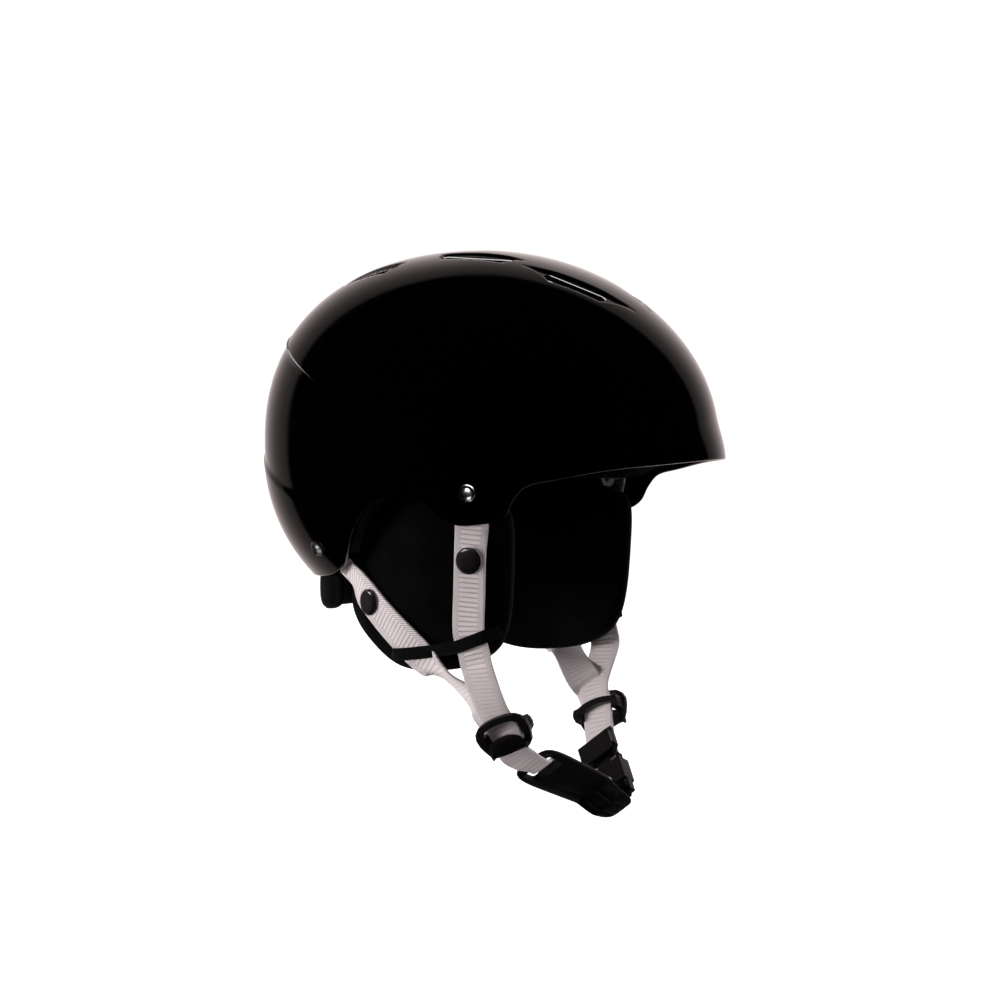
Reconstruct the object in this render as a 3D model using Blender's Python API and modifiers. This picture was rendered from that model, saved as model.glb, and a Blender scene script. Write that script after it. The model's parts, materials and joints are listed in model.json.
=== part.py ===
"""Water helmet: hard shell, foam liner, soft ear pads, webbing harness and chin buckle."""
import math

import bmesh
import bpy
from mathutils import Matrix, Vector

# Shell dome, metres. The wearer faces -Y, their left is +X and the crown is +Z.
DOME_FRONT = 0.1388
DOME_BACK = 0.1452
DOME_HALF_WIDTH = 0.1095
DOME_RISE = 0.1139
DOME_DROP = 0.1192
DOME_LEVEL = 0.0289
CROWN_SET_BACK = 0.0054
FULL_FRONT = 1.96
FULL_BACK = 2.19
FULL_SIDE = 2.22
BRIM_FLARE = 0.0055
SHELL_WALL = 0.0036
LINER_THICK = 0.0140

# Harness webbing and hardware.
WEB_WIDTH = 0.0200
WEB_THICK = 0.0016
RIVET_HEAD = 0.0100
RIVET_SHANK = 0.0040
SNAP_CAP = 0.0156
KEEPER_WIDTH = 0.0074
KEEPER_THICK = 0.0010

# Ear pads: half thickness, and where the middle of the pad stands sideways.
EAR_HALF_THICK = 0.0080
EAR_SET_IN = 0.0235
EAR_MIDDLE = DOME_HALF_WIDTH - EAR_SET_IN
EAR_WRAP = 0.0160
EAR_FRONT_WRAP = 0.0042
EAR_LEAN = 0.0050

# Chin loop: a plane that leans forward, hung from the two dividers.
CHIN_LEAN = math.radians(37.0)
CHIN_ORIGIN = Vector((0.0, -0.0429, -0.1507))
EXIT_HALF_SPAN = 0.0600
CHIN_TIP = Vector((0.0260, -0.0440))
BUCKLE_TURN = math.radians(33.4)
PAD_WIDTH = 0.0280
PAD_THICK = 0.0064
SOCKET_WIDTH = 0.0270
SOCKET_THICK = 0.0098
SOCKET_MOUTH = 0.0240
LADDER_BAR = 0.0440
CAVITY_WIDTH = 0.0222
CAVITY_THICK = 0.0062
ARM_THICK = 0.0040

# Strap dividers.
DIVIDER_WIDTH = 0.0340
DIVIDER_HEIGHT = 0.0235
DIVIDER_BAR = 0.0036
DIVIDER_RIM = 0.0042
DIVIDER_GAP = 0.0048
DIVIDER_DROP = 0.0030
DIVIDER_SHIFT = 0.0032
LOCK_HALF_WIDTH = 0.0112
LOCK_HALF_HEIGHT = 0.0058
LOCK_HALF_THICK = 0.0021
LOCK_PIN = 0.0009

# Clearances between touching pieces.
SKIN_GAP = 0.0003
SLIDE_GAP = 0.0004

# Lower edges seen from the side: forward distance and height of each point.
SHELL_EDGE = (
    (0.200, 0.0270), (0.139, 0.0190), (0.110, 0.0155), (0.085, 0.0105), (0.068, 0.0065),
    (0.060, -0.0010), (0.0555, -0.0095), (0.049, -0.0140), (0.039, -0.0158), (0.027, -0.0165),
    (0.018, -0.0125), (0.009, -0.0050), (0.000, -0.0012), (-0.012, -0.0012), (-0.026, -0.0042),
    (-0.036, -0.0115), (-0.044, -0.0210), (-0.051, -0.0315), (-0.058, -0.0405), (-0.068, -0.0470),
    (-0.082, -0.0505), (-0.110, -0.0520), (-0.200, -0.0520),
)
LINER_EDGE = (
    (0.200, 0.0310), (0.139, 0.0230), (0.110, 0.0195), (0.085, 0.0145), (0.070, 0.0105),
    (0.055, 0.0050), (0.030, 0.0040), (0.000, 0.0040), (-0.030, 0.0035), (-0.045, -0.0050),
    (-0.058, -0.0160), (-0.080, -0.0190), (-0.094, -0.0240), (-0.102, -0.0380), (-0.115, -0.0420),
    (-0.200, -0.0420),
)
EAR_OUTLINE = (
    (0.0530, -0.0140), (0.0470, -0.0040), (0.0300, 0.0005), (0.0080, 0.0018), (-0.0165, 0.0010),
    (-0.0375, -0.0070), (-0.0520, -0.0255), (-0.0590, -0.0470), (-0.0605, -0.0650), (-0.0545, -0.0765),
    (-0.0435, -0.0865), (-0.0275, -0.0980), (-0.0110, -0.1020), (0.0080, -0.1012), (0.0240, -0.0982),
    (0.0385, -0.0910), (0.0465, -0.0815), (0.0510, -0.0650), (0.0530, -0.0400),
)
# Keeper band over the ear pad: forward, height and lift off the pad's face.
KEEPER_LINE = (
    (-0.0226, -0.0978, 0.0009), (-0.0213, -0.0971, 0.0016), (-0.0198, -0.0963, 0.0032),
    (-0.0080, -0.0918, 0.0032), (0.0060, -0.0893, 0.0032), (0.0200, -0.0868, 0.0032),
    (0.0330, -0.0822, 0.0032), (0.0418, -0.0785, 0.0032), (0.0435, -0.0778, 0.0016),
    (0.0450, -0.0772, 0.0009),
)
# Divider outline in shares of its half width and half height, wider at the top.
DIVIDER_OUTLINE = (
    (1.00, 0.28), (0.72, 0.82), (0.00, 1.00), (-0.72, 0.82), (-1.00, 0.28),
    (-0.92, -0.48), (-0.68, -0.97), (0.00, -1.00), (0.68, -0.97), (0.92, -0.48),
)

# Vents: forward, sideways, slant in degrees, length and width, on each half of the crown.
VENTS = (
    ("rear", -0.062, 0.0365, -12.0, 0.042, 0.0090),
    ("middle", 0.005, 0.0330, 0.0, 0.048, 0.0090),
    ("front", 0.069, 0.0300, 11.0, 0.040, 0.0090),
)

for old in list(bpy.data.objects):
    bpy.data.objects.remove(old)

parts = bpy.data.collections.new("Water helmet")
cutters = bpy.data.collections.new("Cutters")
bpy.context.scene.collection.children.link(parts)
bpy.context.scene.collection.children.link(cutters)


def material(name, colour, roughness, metallic=0.0):
    made = bpy.data.materials.new(name)
    made.use_nodes = True
    shader = made.node_tree.nodes["Principled BSDF"]
    shader.inputs["Base Color"].default_value = (*colour, 1.0)
    shader.inputs["Roughness"].default_value = roughness
    shader.inputs["Metallic"].default_value = metallic
    return made


gloss_black = material("gloss black shell", (0.006, 0.006, 0.007), 0.08)
foam_grey = material("grey foam", (0.035, 0.035, 0.038), 0.9)
pad_black = material("black pad fabric", (0.010, 0.010, 0.011), 0.85)
web_grey = material("pale webbing", (0.62, 0.62, 0.63), 0.75)
plain_black = material("black plastic", (0.012, 0.012, 0.013), 0.35)
steel = material("bright steel", (0.75, 0.75, 0.77), 0.15, 1.0)


def finish(name, mesh, paint, smooth=True):
    """Put a mesh in the part collection as one named, painted object."""
    made = bpy.data.objects.new(name, mesh)
    mesh.materials.clear()
    mesh.materials.append(paint)
    for face in mesh.polygons:
        face.use_smooth = smooth
    parts.objects.link(made)
    return made


def cutter(name, mesh):
    made = bpy.data.objects.new(name, mesh)
    made.hide_render = True
    made.display_type = "WIRE"
    cutters.objects.link(made)
    return made


def to_mesh(bm, name):
    bm.normal_update()
    bmesh.ops.recalc_face_normals(bm, faces=bm.faces)
    mesh = bpy.data.meshes.new(name)
    bm.to_mesh(mesh)
    bm.free()
    return mesh


def cut(target, tool, operation="DIFFERENCE"):
    step = target.modifiers.new(operation.lower() + " " + tool.name, "BOOLEAN")
    step.operation = operation
    step.solver = "EXACT"
    step.object = tool


def bevel(target, width, segments=2):
    step = target.modifiers.new("rounded edges", "BEVEL")
    step.width = width
    step.segments = segments
    step.limit_method = "ANGLE"
    step.angle_limit = math.radians(40.0)


def ease(x):
    x = min(max(x, 0.0), 1.0)
    return x * x * (3.0 - 2.0 * x)


def dome_point(angle, level, inset):
    """Point of the dome: angle 0 is the front, 90 degrees the wearer's left; level runs -1 to 1."""
    ahead = math.cos(angle)
    front = ease(0.5 * (1.0 + ahead))
    side = math.sin(angle) ** 2
    fullness = (FULL_BACK + (FULL_FRONT - FULL_BACK) * front) * (1.0 - side) + FULL_SIDE * side
    ring = max(1.0 - abs(level) ** fullness, 0.0) ** (1.0 / fullness)
    reach = DOME_BACK + (DOME_FRONT - DOME_BACK) * front - inset
    forward = reach * ring * ahead
    height = DOME_LEVEL + (DOME_RISE - inset if level > 0.0 else DOME_DROP - inset) * level
    if level > 0.0:
        forward -= CROWN_SET_BACK * level * level
    forward += BRIM_FLARE * max(ahead, 0.0) ** 2 * ease((0.045 - height) / 0.030) * ring
    return Vector(((DOME_HALF_WIDTH - inset) * ring * math.sin(angle), -forward, height))


def dome_level(height, inset):
    rise = height - DOME_LEVEL
    return rise / (DOME_RISE - inset if rise > 0.0 else DOME_DROP - inset)


def dome_side(forward, height, inset):
    """Sideways distance of the dome at a forward distance and height."""
    level = dome_level(height, inset)
    low = 0.0
    high = math.pi
    for _ in range(48):
        middle = 0.5 * (low + high)
        if -dome_point(middle, level, inset).y > forward:
            low = middle
        else:
            high = middle
    return dome_point(0.5 * (low + high), level, inset).x


def dome_top(forward, sideways, inset):
    """Point of the dome's upper half above a forward and sideways distance."""
    low = 0.0
    high = 1.0
    for _ in range(40):
        level = 0.5 * (low + high)
        ahead = forward + CROWN_SET_BACK * level * level
        angle = math.atan2(sideways / DOME_HALF_WIDTH, 2.0 * ahead / (DOME_FRONT + DOME_BACK))
        spot = dome_point(angle, level, inset)
        if math.hypot(spot.x, spot.y) > math.hypot(sideways, forward):
            low = level
        else:
            high = level
    return spot


def dome_mesh(name, around, rings, inset):
    bm = bmesh.new()
    bmesh.ops.create_uvsphere(bm, u_segments=around, v_segments=rings, radius=1.0)
    for vert in bm.verts:
        angle = math.atan2(vert.co.x, -vert.co.y)
        vert.co = dome_point(angle, max(-1.0, min(1.0, vert.co.z)), inset)
    return to_mesh(bm, name)


def between(a, b, c, d, t):
    """Catmull-Rom point from b to c, with the neighbours a and d."""
    bend = 2 * a - 5 * b + 4 * c - d
    swing = 3 * b - a - 3 * c + d
    return 0.5 * (2 * b + (c - a) * t + bend * t * t + swing * t ** 3)


def smooth_line(points, per_span):
    """Catmull-Rom samples through the points, ends included."""
    spots = [Vector(p) for p in points]
    ends = [2 * spots[0] - spots[1]] + spots + [2 * spots[-1] - spots[-2]]
    made = []
    for i in range(1, len(ends) - 2):
        for j in range(per_span):
            t = j / per_span
            a, b, c, d = ends[i - 1], ends[i], ends[i + 1], ends[i + 2]
            made.append(between(a, b, c, d, t))
    made.append(spots[-1])
    return made


def closed_line(points, per_span):
    """Catmull-Rom samples round a closed outline."""
    spots = [Vector(p) for p in points]
    count = len(spots)
    made = []
    for i in range(count):
        a, b, c, d = spots[i - 1], spots[i], spots[(i + 1) % count], spots[(i + 2) % count]
        for j in range(per_span):
            t = j / per_span
            made.append(between(a, b, c, d, t))
    return made


def prism(name, outline, low, high, frame=Matrix()):
    """Flat outline in the frame's XY plane, pushed from low to high along its Z."""
    bm = bmesh.new()
    face = bm.faces.new([bm.verts.new((p[0], p[1], low)) for p in outline])
    pushed = bmesh.ops.extrude_face_region(bm, geom=[face])
    for item in pushed["geom"]:
        if isinstance(item, bmesh.types.BMVert):
            item.co.z = high
    bm.transform(frame)
    return to_mesh(bm, name)


def box(name, size, centre, frame=Matrix()):
    bm = bmesh.new()
    bmesh.ops.create_cube(bm, size=1.0)
    for vert in bm.verts:
        vert.co = Vector(centre) + Vector((vert.co.x * size[0], vert.co.y * size[1], vert.co.z * size[2]))
    bm.transform(frame)
    return to_mesh(bm, name)


def rod(name, radius, low, high, frame=Matrix(), around=20):
    bm = bmesh.new()
    bmesh.ops.create_cone(
        bm, cap_ends=True, segments=around, radius1=radius, radius2=radius, depth=high - low,
        matrix=Matrix.Translation((0.0, 0.0, 0.5 * (low + high))),
    )
    bm.transform(frame)
    return to_mesh(bm, name)


def turned(name, profile, frame, around, paint):
    """Solid of revolution about the frame's Z, from a profile that runs top to bottom."""
    bm = bmesh.new()
    line = [bm.verts.new((p[0], 0.0, p[1])) for p in profile]
    for a, b in zip(line, line[1:]):
        bm.edges.new((a, b))
    mesh = bpy.data.meshes.new(name)
    bm.to_mesh(mesh)
    bm.free()
    made = finish(name, mesh, paint)
    made.matrix_world = frame
    spin = made.modifiers.new("turned", "SCREW")
    spin.axis = "Z"
    spin.steps = around
    spin.render_steps = around
    spin.use_merge_vertices = True
    spin.merge_threshold = 0.00001
    spin.use_smooth_shade = True
    return made


def frame_at(spot, out, up):
    """Axes at a spot: Z points out, Y as near to up as it can."""
    z = Vector(out).normalized()
    x = Vector(up).cross(z).normalized()
    y = z.cross(x)
    made = Matrix((x, y, z)).transposed().to_4x4()
    made.translation = spot
    return made


def ribbon(name, spots, outs, paint, width=WEB_WIDTH, thick=WEB_THICK, per_span=3, lead=None):
    """Flat strap along a line of spots; each out is the way its upper face looks."""
    line = smooth_line(spots, per_span)
    faces = smooth_line(outs, per_span)
    count = len(line)
    bm = bmesh.new()
    bmesh.ops.create_grid(bm, x_segments=1, y_segments=count - 1, size=1.0)
    rows = sorted(bm.verts, key=lambda v: (round(v.co.y, 6), v.co.x))
    for i in range(count):
        along = (line[min(i + 1, count - 1)] - line[max(i - 1, 0)]).normalized()
        if lead and i == 0:
            along = lead
        across = along.cross(faces[i].normalized()).normalized()
        rows[2 * i].co = line[i] - across * (0.5 * width)
        rows[2 * i + 1].co = line[i] + across * (0.5 * width)
    mesh = to_mesh(bm, name)
    made = finish(name, mesh, paint)
    thicken = made.modifiers.new("webbing thickness", "SOLIDIFY")
    thicken.thickness = thick
    thicken.offset = 0.0
    thicken.use_even_offset = True
    return made


def cushion(name, place, around, rings, paint):
    """Soft pad: a ball whose points are laid out by place(x, y, z) for the unit ball."""
    bm = bmesh.new()
    bmesh.ops.create_uvsphere(bm, u_segments=around, v_segments=rings, radius=1.0)
    for vert in bm.verts:
        vert.co = place(vert.co.x, vert.co.y, vert.co.z)
    return finish(name, to_mesh(bm, name), paint)


def ear_middle(forward, height):
    """Sideways distance of the ear pad's middle."""
    wrap = EAR_FRONT_WRAP if forward > 0.015 else EAR_WRAP
    return EAR_MIDDLE - wrap * ((forward - 0.015) / 0.060) ** 2 + EAR_LEAN * (height + 0.010) / 0.090


def ear_face(forward, height, lift):
    return ear_middle(forward, height) + EAR_HALF_THICK + lift


# Shell: hollow dome, trimmed to its edge, with vents and rivet holes.
below_shell = [(-p.x, p.y) for p in smooth_line([(a, b, 0.0) for a, b in SHELL_EDGE], 3)]
below_shell += [(0.200, -0.300), (-0.200, -0.300)]
below_liner = [(-p.x, p.y) for p in smooth_line([(a, b, 0.0) for a, b in LINER_EDGE], 3)]
below_liner += [(0.200, -0.300), (-0.200, -0.300)]
side_view = Matrix(((0.0, 0.0, 1.0, 0.0), (1.0, 0.0, 0.0, 0.0), (0.0, 1.0, 0.0, 0.0), (0.0, 0.0, 0.0, 1.0)))
shell_trim = cutter("shell edge trim", prism("shell edge trim", below_shell, -0.180, 0.180, side_view))
liner_trim = cutter("liner edge trim", prism("liner edge trim", below_liner, -0.180, 0.180, side_view))
shell_hollow = cutter("shell hollow", dome_mesh("shell hollow", 44, 20, SHELL_WALL))
head_space = cutter("head space", dome_mesh("head space", 30, 14, SHELL_WALL + SKIN_GAP + LINER_THICK))

outer_shell = finish("outer_shell", dome_mesh("outer_shell", 52, 24, 0.0), gloss_black)
cut(outer_shell, shell_hollow)
cut(outer_shell, shell_trim)
foam_liner = finish("foam_liner", dome_mesh("foam_liner", 36, 16, SHELL_WALL + 4.0 * SKIN_GAP), foam_grey)
cut(foam_liner, head_space)
cut(foam_liner, liner_trim)

for vent_name, ahead, out, slant, length, width in VENTS:
    for side, side_name in ((-1.0, "right"), (1.0, "left")):
        top = dome_top(ahead, out, 0.0)
        lift = (top.z - DOME_LEVEL) / DOME_RISE ** 2
        normal = Vector((side * top.x / DOME_HALF_WIDTH ** 2, top.y / DOME_FRONT ** 2, lift))
        spot = Vector((side * top.x, top.y, top.z))
        turned_in = math.radians(slant)
        heading = Vector((-side * math.sin(turned_in), -math.cos(turned_in), 0.0))
        plan = frame_at(spot, normal, heading)
        radius = 0.5 * width
        ends = []
        for turn in range(-90, 91, 45):
            a = math.radians(turn)
            ends.append((radius * math.sin(a), 0.5 * length - radius + radius * math.cos(a)))
        ring = ends + [(-x, -y) for x, y in ends]
        tool = cutter("vent " + vent_name + " " + side_name, prism("vent", ring[::-1], -0.035, 0.015, plan))
        cut(outer_shell, tool)
        cut(foam_liner, tool)

# Comfort pads on the liner's inner face.
inner_face = SHELL_WALL + 2.0 * SKIN_GAP + LINER_THICK


def liner_pad(name, angle, spread, level, rise, half_thick, seat, around, rings):
    def place(x, y, z):
        flat = math.hypot(x, y)
        square = 1.0 + 0.22 * (math.sin(2.0 * math.atan2(y, x)) ** 2)
        crown = z * (1.0 if flat < 0.02 else min(1.0, 1.0 + 0.5 * flat))
        return dome_point(
            angle + spread * x * square, level + rise * y * square,
            inner_face + SKIN_GAP + half_thick * (seat - crown),
        )
    return cushion(name, place, around, rings, pad_black)


liner_pad("brow_pad", 0.0, math.radians(30.0), 0.15, 0.13, 0.0042, 0.97, 20, 6)
liner_pad("rear_pad", math.pi, math.radians(30.0), 0.10, 0.22, 0.0042, 1.12, 20, 6)
liner_pad("side_pad_left", math.radians(92.0), math.radians(26.0), 0.10, 0.16, 0.0038, 1.12, 18, 6)
liner_pad("side_pad_right", math.radians(-92.0), math.radians(26.0), 0.10, 0.16, 0.0038, 1.12, 18, 6)


def crown_place(x, y, z):
    spot = dome_top(0.036 * x - 0.006, 0.028 * y, inner_face + SKIN_GAP + 0.0062)
    return Vector((0.026 * y, 0.004 - 0.050 * x, spot.z + 0.0003 + 0.0038 * z))


cushion("crown_pad", crown_place, 18, 6, pad_black)

# Nape pad: a soft band that hangs below the back of the shell.
NAPE_SPREAD = math.radians(46.0)
NAPE_HALF_HEIGHT = 0.0135
NAPE_MIDDLE = -0.0590
NAPE_HALF_THICK = 0.0058


def nape_place(x, y, z):
    square = 1.0 + 0.28 * (math.sin(2.0 * math.atan2(y, x)) ** 2)
    angle = math.pi + NAPE_SPREAD * x * square
    wall = dome_point(angle, dome_level(-0.0525, 0.0), SHELL_WALL + SKIN_GAP + NAPE_HALF_THICK + 0.0040)
    out = Vector((wall.x, wall.y, 0.0)).normalized()
    height = NAPE_MIDDLE + NAPE_HALF_HEIGHT * y * square
    return Vector((wall.x, wall.y, height)) + out * (NAPE_HALF_THICK * z)


cushion("nape_pad", nape_place, 24, 8, pad_black)

# Harness of each side: ear pad, straps, rivets, snaps, keepers and divider.
ear_loop = closed_line([(a, b, 0.0) for a, b in EAR_OUTLINE], 2)
ear_centre = Vector((0.002, -0.048, 0.0))


def ear_reach(angle):
    """Distance from the pad's centre to its outline in a direction."""
    ray = Vector((math.cos(angle), math.sin(angle), 0.0))
    best = 0.0
    for a, b in zip(ear_loop, ear_loop[1:] + ear_loop[:1]):
        p = a - ear_centre
        q = b - ear_centre
        edge = q - p
        crossing = ray.x * edge.y - ray.y * edge.x
        if abs(crossing) > 1e-12:
            far = (p.x * edge.y - p.y * edge.x) / crossing
            share = (p.x * ray.y - p.y * ray.x) / crossing
            if far > 0.0 and -1e-6 <= share <= 1.0 + 1e-6:
                best = max(best, far)
    return best


FRONT_RIVET = (0.0345, 0.0026)
REAR_RIVET = (-0.0770, -0.0330)
WALL_BOW = 0.0013
STRAP_INSET = SHELL_WALL + SKIN_GAP + WALL_BOW + 0.5 * WEB_THICK
STRAP_LIFT = SKIN_GAP + 0.5 * WEB_THICK
LAYER = 0.0012
ROOM_SHIFT = 0.0015
REAR_TWIST = math.radians(-12.0)
lean_turn = 0.5 * math.pi - CHIN_LEAN
chin_frame = Matrix.Translation(CHIN_ORIGIN) @ Matrix.Rotation(lean_turn, 4, "X")


def side_spot(side, forward, height, out):
    return Vector((side * out, -forward, height))


def dome_normal(side, forward, height):
    here = dome_side(forward, height, 0.0)
    ahead = dome_side(forward + 0.002, height, 0.0)
    above = dome_side(forward, height + 0.002, 0.0)
    along = Vector((side * (ahead - here), -0.002, 0.0))
    up = Vector((side * (above - here), 0.0, 0.002))
    out = along.cross(up).normalized()
    return out if out.x * side > 0.0 else -out


def ear_normal(side, forward, height):
    wrap = EAR_FRONT_WRAP if forward > 0.015 else EAR_WRAP
    slope = -2.0 * wrap * (forward - 0.015) / 0.060 ** 2
    lean = EAR_LEAN / 0.090
    return Vector((side, slope * 1.0, -lean)).normalized()


def harness(side, name):
    def ear_place(x, y, z):
        flat = math.hypot(x, y)
        angle = math.atan2(y, x)
        reach = ear_reach(angle) * flat ** 0.8
        forward = ear_centre.x + math.cos(angle) * reach
        height = ear_centre.y + math.sin(angle) * reach
        crown = math.copysign(abs(z) ** 0.55, z)
        return side_spot(side, forward, height, ear_middle(forward, height) + EAR_HALF_THICK * crown)

    cushion("ear_pad_" + name, ear_place, 36, 10, pad_black)

    # Dividers hang under the pads and lean in towards the chin.
    leave = chin_frame @ Vector((side * EXIT_HALF_SPAN, 0.0, 0.0))
    arrive = side_spot(side, 0.020, -0.096, EAR_MIDDLE + 0.001)
    up = (arrive - leave).normalized()
    wide = Vector((0.0, -0.90, 0.43))
    wide = (wide - up * wide.dot(up)).normalized()
    out = wide.cross(up).normalized()
    if out.x * side < 0.0:
        out = -out
    across = up.cross(out)
    divider = Matrix((across, up, out)).transposed().to_4x4()
    ahead = chin_frame.to_3x3() @ Vector((0.0, 0.0, DIVIDER_SHIFT))
    divider.translation = leave + up * (0.5 * DIVIDER_HEIGHT + DIVIDER_DROP) + ahead
    return divider, leave, out


RIGHT = -1.0
LEFT = 1.0
for side, name in ((RIGHT, "right"), (LEFT, "left")):
    divider, leave, div_out = harness(side, name)
    half = 0.5 * DIVIDER_HEIGHT

    # Front strap: riveted inside the shell, over the pad, down to the divider.
    ahead, high = FRONT_RIVET
    upper = []
    looks = []
    for forward, height in ((0.0355, 0.0110), (ahead, high), (0.0330, -0.0070), (0.0322, -0.0165)):
        upper.append(side_spot(side, forward, height, dome_side(forward, height, STRAP_INSET)))
        looks.append(dome_normal(side, forward, height))
    for forward, height in ((0.0310, -0.0320), (0.0298, -0.0550), (0.0288, -0.0770), (0.0316, -0.0890)):
        upper.append(side_spot(side, forward, height, ear_face(forward, height, STRAP_LIFT)))
        looks.append(ear_normal(side, forward, height))
    front_strap = ribbon("strap_front_" + name, upper, looks, web_grey)
    entry = divider @ Vector((0.0, half + 0.0040, 0.0))
    onward = (upper[-1] - upper[-2]).normalized()
    start = upper[-1] + onward * (3.0 * SKIN_GAP)
    ribbon(
        "strap_front_lower_" + name,
        [start, start + Vector((side * -0.0012, -0.0020, -0.0100)), entry + div_out * LAYER,
         divider @ Vector((0.0, 0.0, LAYER)), leave + div_out * LAYER],
        [looks[-1], looks[-1], div_out, div_out, div_out], web_grey, lead=onward,
    )

    # Rear strap: from the rear rivet, slanting over the pad to the same divider.
    upper = []
    looks = []
    for forward, height in ((-0.0835, -0.0283), REAR_RIVET, (-0.0685, -0.0396), (-0.0600, -0.0468)):
        upper.append(side_spot(side, forward, height, dome_side(forward, height, STRAP_INSET)))
        looks.append(dome_normal(side, forward, height))
    for forward, height in ((-0.0470, -0.0580), (-0.0300, -0.0720), (-0.0120, -0.0858), (0.0040, -0.0983)):
        upper.append(side_spot(side, forward, height, ear_face(forward, height, STRAP_LIFT)))
        looks.append(ear_normal(side, forward, height))
    rear_strap = ribbon("strap_rear_" + name, upper, looks, web_grey)
    onward = (upper[-1] - upper[-2]).normalized()
    start = upper[-1] + onward * (3.5 * SKIN_GAP)
    twist = Matrix.Rotation(side * REAR_TWIST, 3, onward)
    ribbon(
        "strap_rear_lower_" + name,
        [start, start + Vector((side * -0.0044, -0.0044, -0.0076)), entry - div_out * LAYER,
         divider @ Vector((0.0, 0.0, -LAYER)), leave - div_out * LAYER],
        [looks[-1], twist @ looks[-1], div_out, div_out, div_out], web_grey, lead=onward,
    )

    # Rivets through the shell, with washers behind the webbing.
    for strap, spot, label in ((front_strap, FRONT_RIVET, "front"), (rear_strap, REAR_RIVET, "rear")):
        forward, height = spot
        face = side_spot(side, forward, height, dome_side(forward, height, 0.0))
        axis = frame_at(face, dome_normal(side, forward, height), (0.0, 0.0, 1.0))
        if label == "front":
            beside = dome_side(forward, height, STRAP_INSET) + ROOM_SHIFT
            room = box("anchor room", (0.0150, 0.0280, 0.0270), (side * beside, -forward, 0.0035))
            cut(foam_liner, cutter("anchor room " + name, room))
        bore = rod("hole", 0.5 * RIVET_SHANK + SKIN_GAP, -0.014, 0.006, axis)
        hole = cutter("hole " + label + " " + name, bore)
        cut(outer_shell, hole)
        cut(strap, hole)
        r = 0.5 * RIVET_HEAD
        shank = 0.5 * RIVET_SHANK
        depth = -(SHELL_WALL + 2.0 * SKIN_GAP + WALL_BOW + WEB_THICK + 0.0026)
        turned(
            "rivet_" + label + "_" + name,
            ((0.0, 0.0030), (0.30 * r, 0.0029), (0.62 * r, 0.0024), (0.88 * r, 0.0015), (r, 0.0007),
             (0.96 * r, SKIN_GAP), (shank, SKIN_GAP), (shank, depth), (0.0, depth)),
            axis, 18, steel,
        )
        back = -(SHELL_WALL + WALL_BOW + WEB_THICK + 4.5 * SKIN_GAP)
        turned(
            "rivet_washer_" + label + "_" + name,
            ((shank + SKIN_GAP, back), (0.0047, back), (0.0050, back - 0.0003), (0.0050, back - 0.0010),
             (shank + SKIN_GAP, back - 0.0010), (shank + SKIN_GAP, back)),
            axis, 16, steel,
        )

    # Snap caps on the webbing over the pad.
    for spot, label in (((0.0305, -0.0365), "front"), ((-0.0415, -0.0635), "rear")):
        forward, height = spot
        out = ear_normal(side, forward, height)
        base = side_spot(side, forward, height, ear_face(forward, height, STRAP_LIFT))
        base += out * (0.5 * WEB_THICK + SKIN_GAP)
        r = 0.5 * SNAP_CAP
        turned(
            "snap_" + label + "_" + name,
            ((0.0, 0.0030), (0.45 * r, 0.0029), (0.78 * r, 0.0024), (0.95 * r, 0.0015), (r, 0.0008),
             (0.97 * r, 0.0002), (0.9 * r, 0.0), (0.0, 0.0)),
            frame_at(base, out, (0.0, 0.0, 1.0)), 18, plain_black,
        )

    # Keeper: one slanting band sewn along the pad's lower edge, over both straps.
    path = []
    looks = []
    for forward, height, lift in KEEPER_LINE:
        path.append(side_spot(side, forward, height, ear_face(forward, height, lift)))
        looks.append(ear_normal(side, forward, height))
    ribbon("keeper_" + name, path, looks, plain_black, KEEPER_WIDTH, KEEPER_THICK, 2)

    # Divider frame: a rounded ring outside the straps and an arched bar behind them.
    w = 0.5 * DIVIDER_WIDTH
    near = 0.5 * DIVIDER_GAP
    far = near + DIVIDER_BAR
    hole_w = w - DIVIDER_RIM
    hole_half = half - DIVIDER_RIM
    outer = closed_line([(w * a, half * b, 0.0) for a, b in DIVIDER_OUTLINE], 2)
    inner = closed_line([(hole_w * a, hole_half * b, 0.0) for a, b in DIVIDER_OUTLINE], 2)
    divider_frame = finish("divider_" + name, prism("divider", outer, near, far, divider), plain_black)
    window = prism("divider window", inner, near - 0.002, far + 0.002, divider)
    cut(divider_frame, cutter("divider window " + name, window))
    arch = [(0.94 * w * i / 5.0, 0.0030 - 0.0040 * (i / 5.0) ** 2) for i in range(-5, 6)]
    thick = 0.5 * DIVIDER_RIM
    bar_outline = [(a, b + thick) for a, b in arch] + [(a, b - thick) for a, b in arch[::-1]]
    arched = prism("arched bar", bar_outline, -far, -near, divider)
    cut(divider_frame, cutter("divider arched bar " + name, arched), "UNION")
    pivot = Vector((0.0, -half + 0.0026, far + LOCK_HALF_THICK + SKIN_GAP))
    for end in (-1.0, 1.0):
        label = " " + name + (" a" if end < 0.0 else " b")
        stand = (end * (w - 0.0036), -0.0010, 0.0)
        post = box("post", (DIVIDER_RIM, 0.0080, 2.0 * far - 0.0008), stand, divider)
        cut(divider_frame, cutter("divider post" + label, post), "UNION")
        lug = box("lug", (0.0018, 0.0030, 0.0045), (end * 0.0113, pivot.y, pivot.z - 0.0007), divider)
        cut(divider_frame, cutter("divider lug" + label, lug), "UNION")
    crossways = divider @ Matrix.Translation(pivot) @ Matrix.Rotation(0.5 * math.pi, 4, "Y")
    pin_hole = rod("pin hole", LOCK_PIN + SKIN_GAP, -0.014, 0.014, crossways, 12)
    cut(divider_frame, cutter("divider pin hole " + name, pin_hole))
    bevel(divider_frame, 0.0005, 1)

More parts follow.
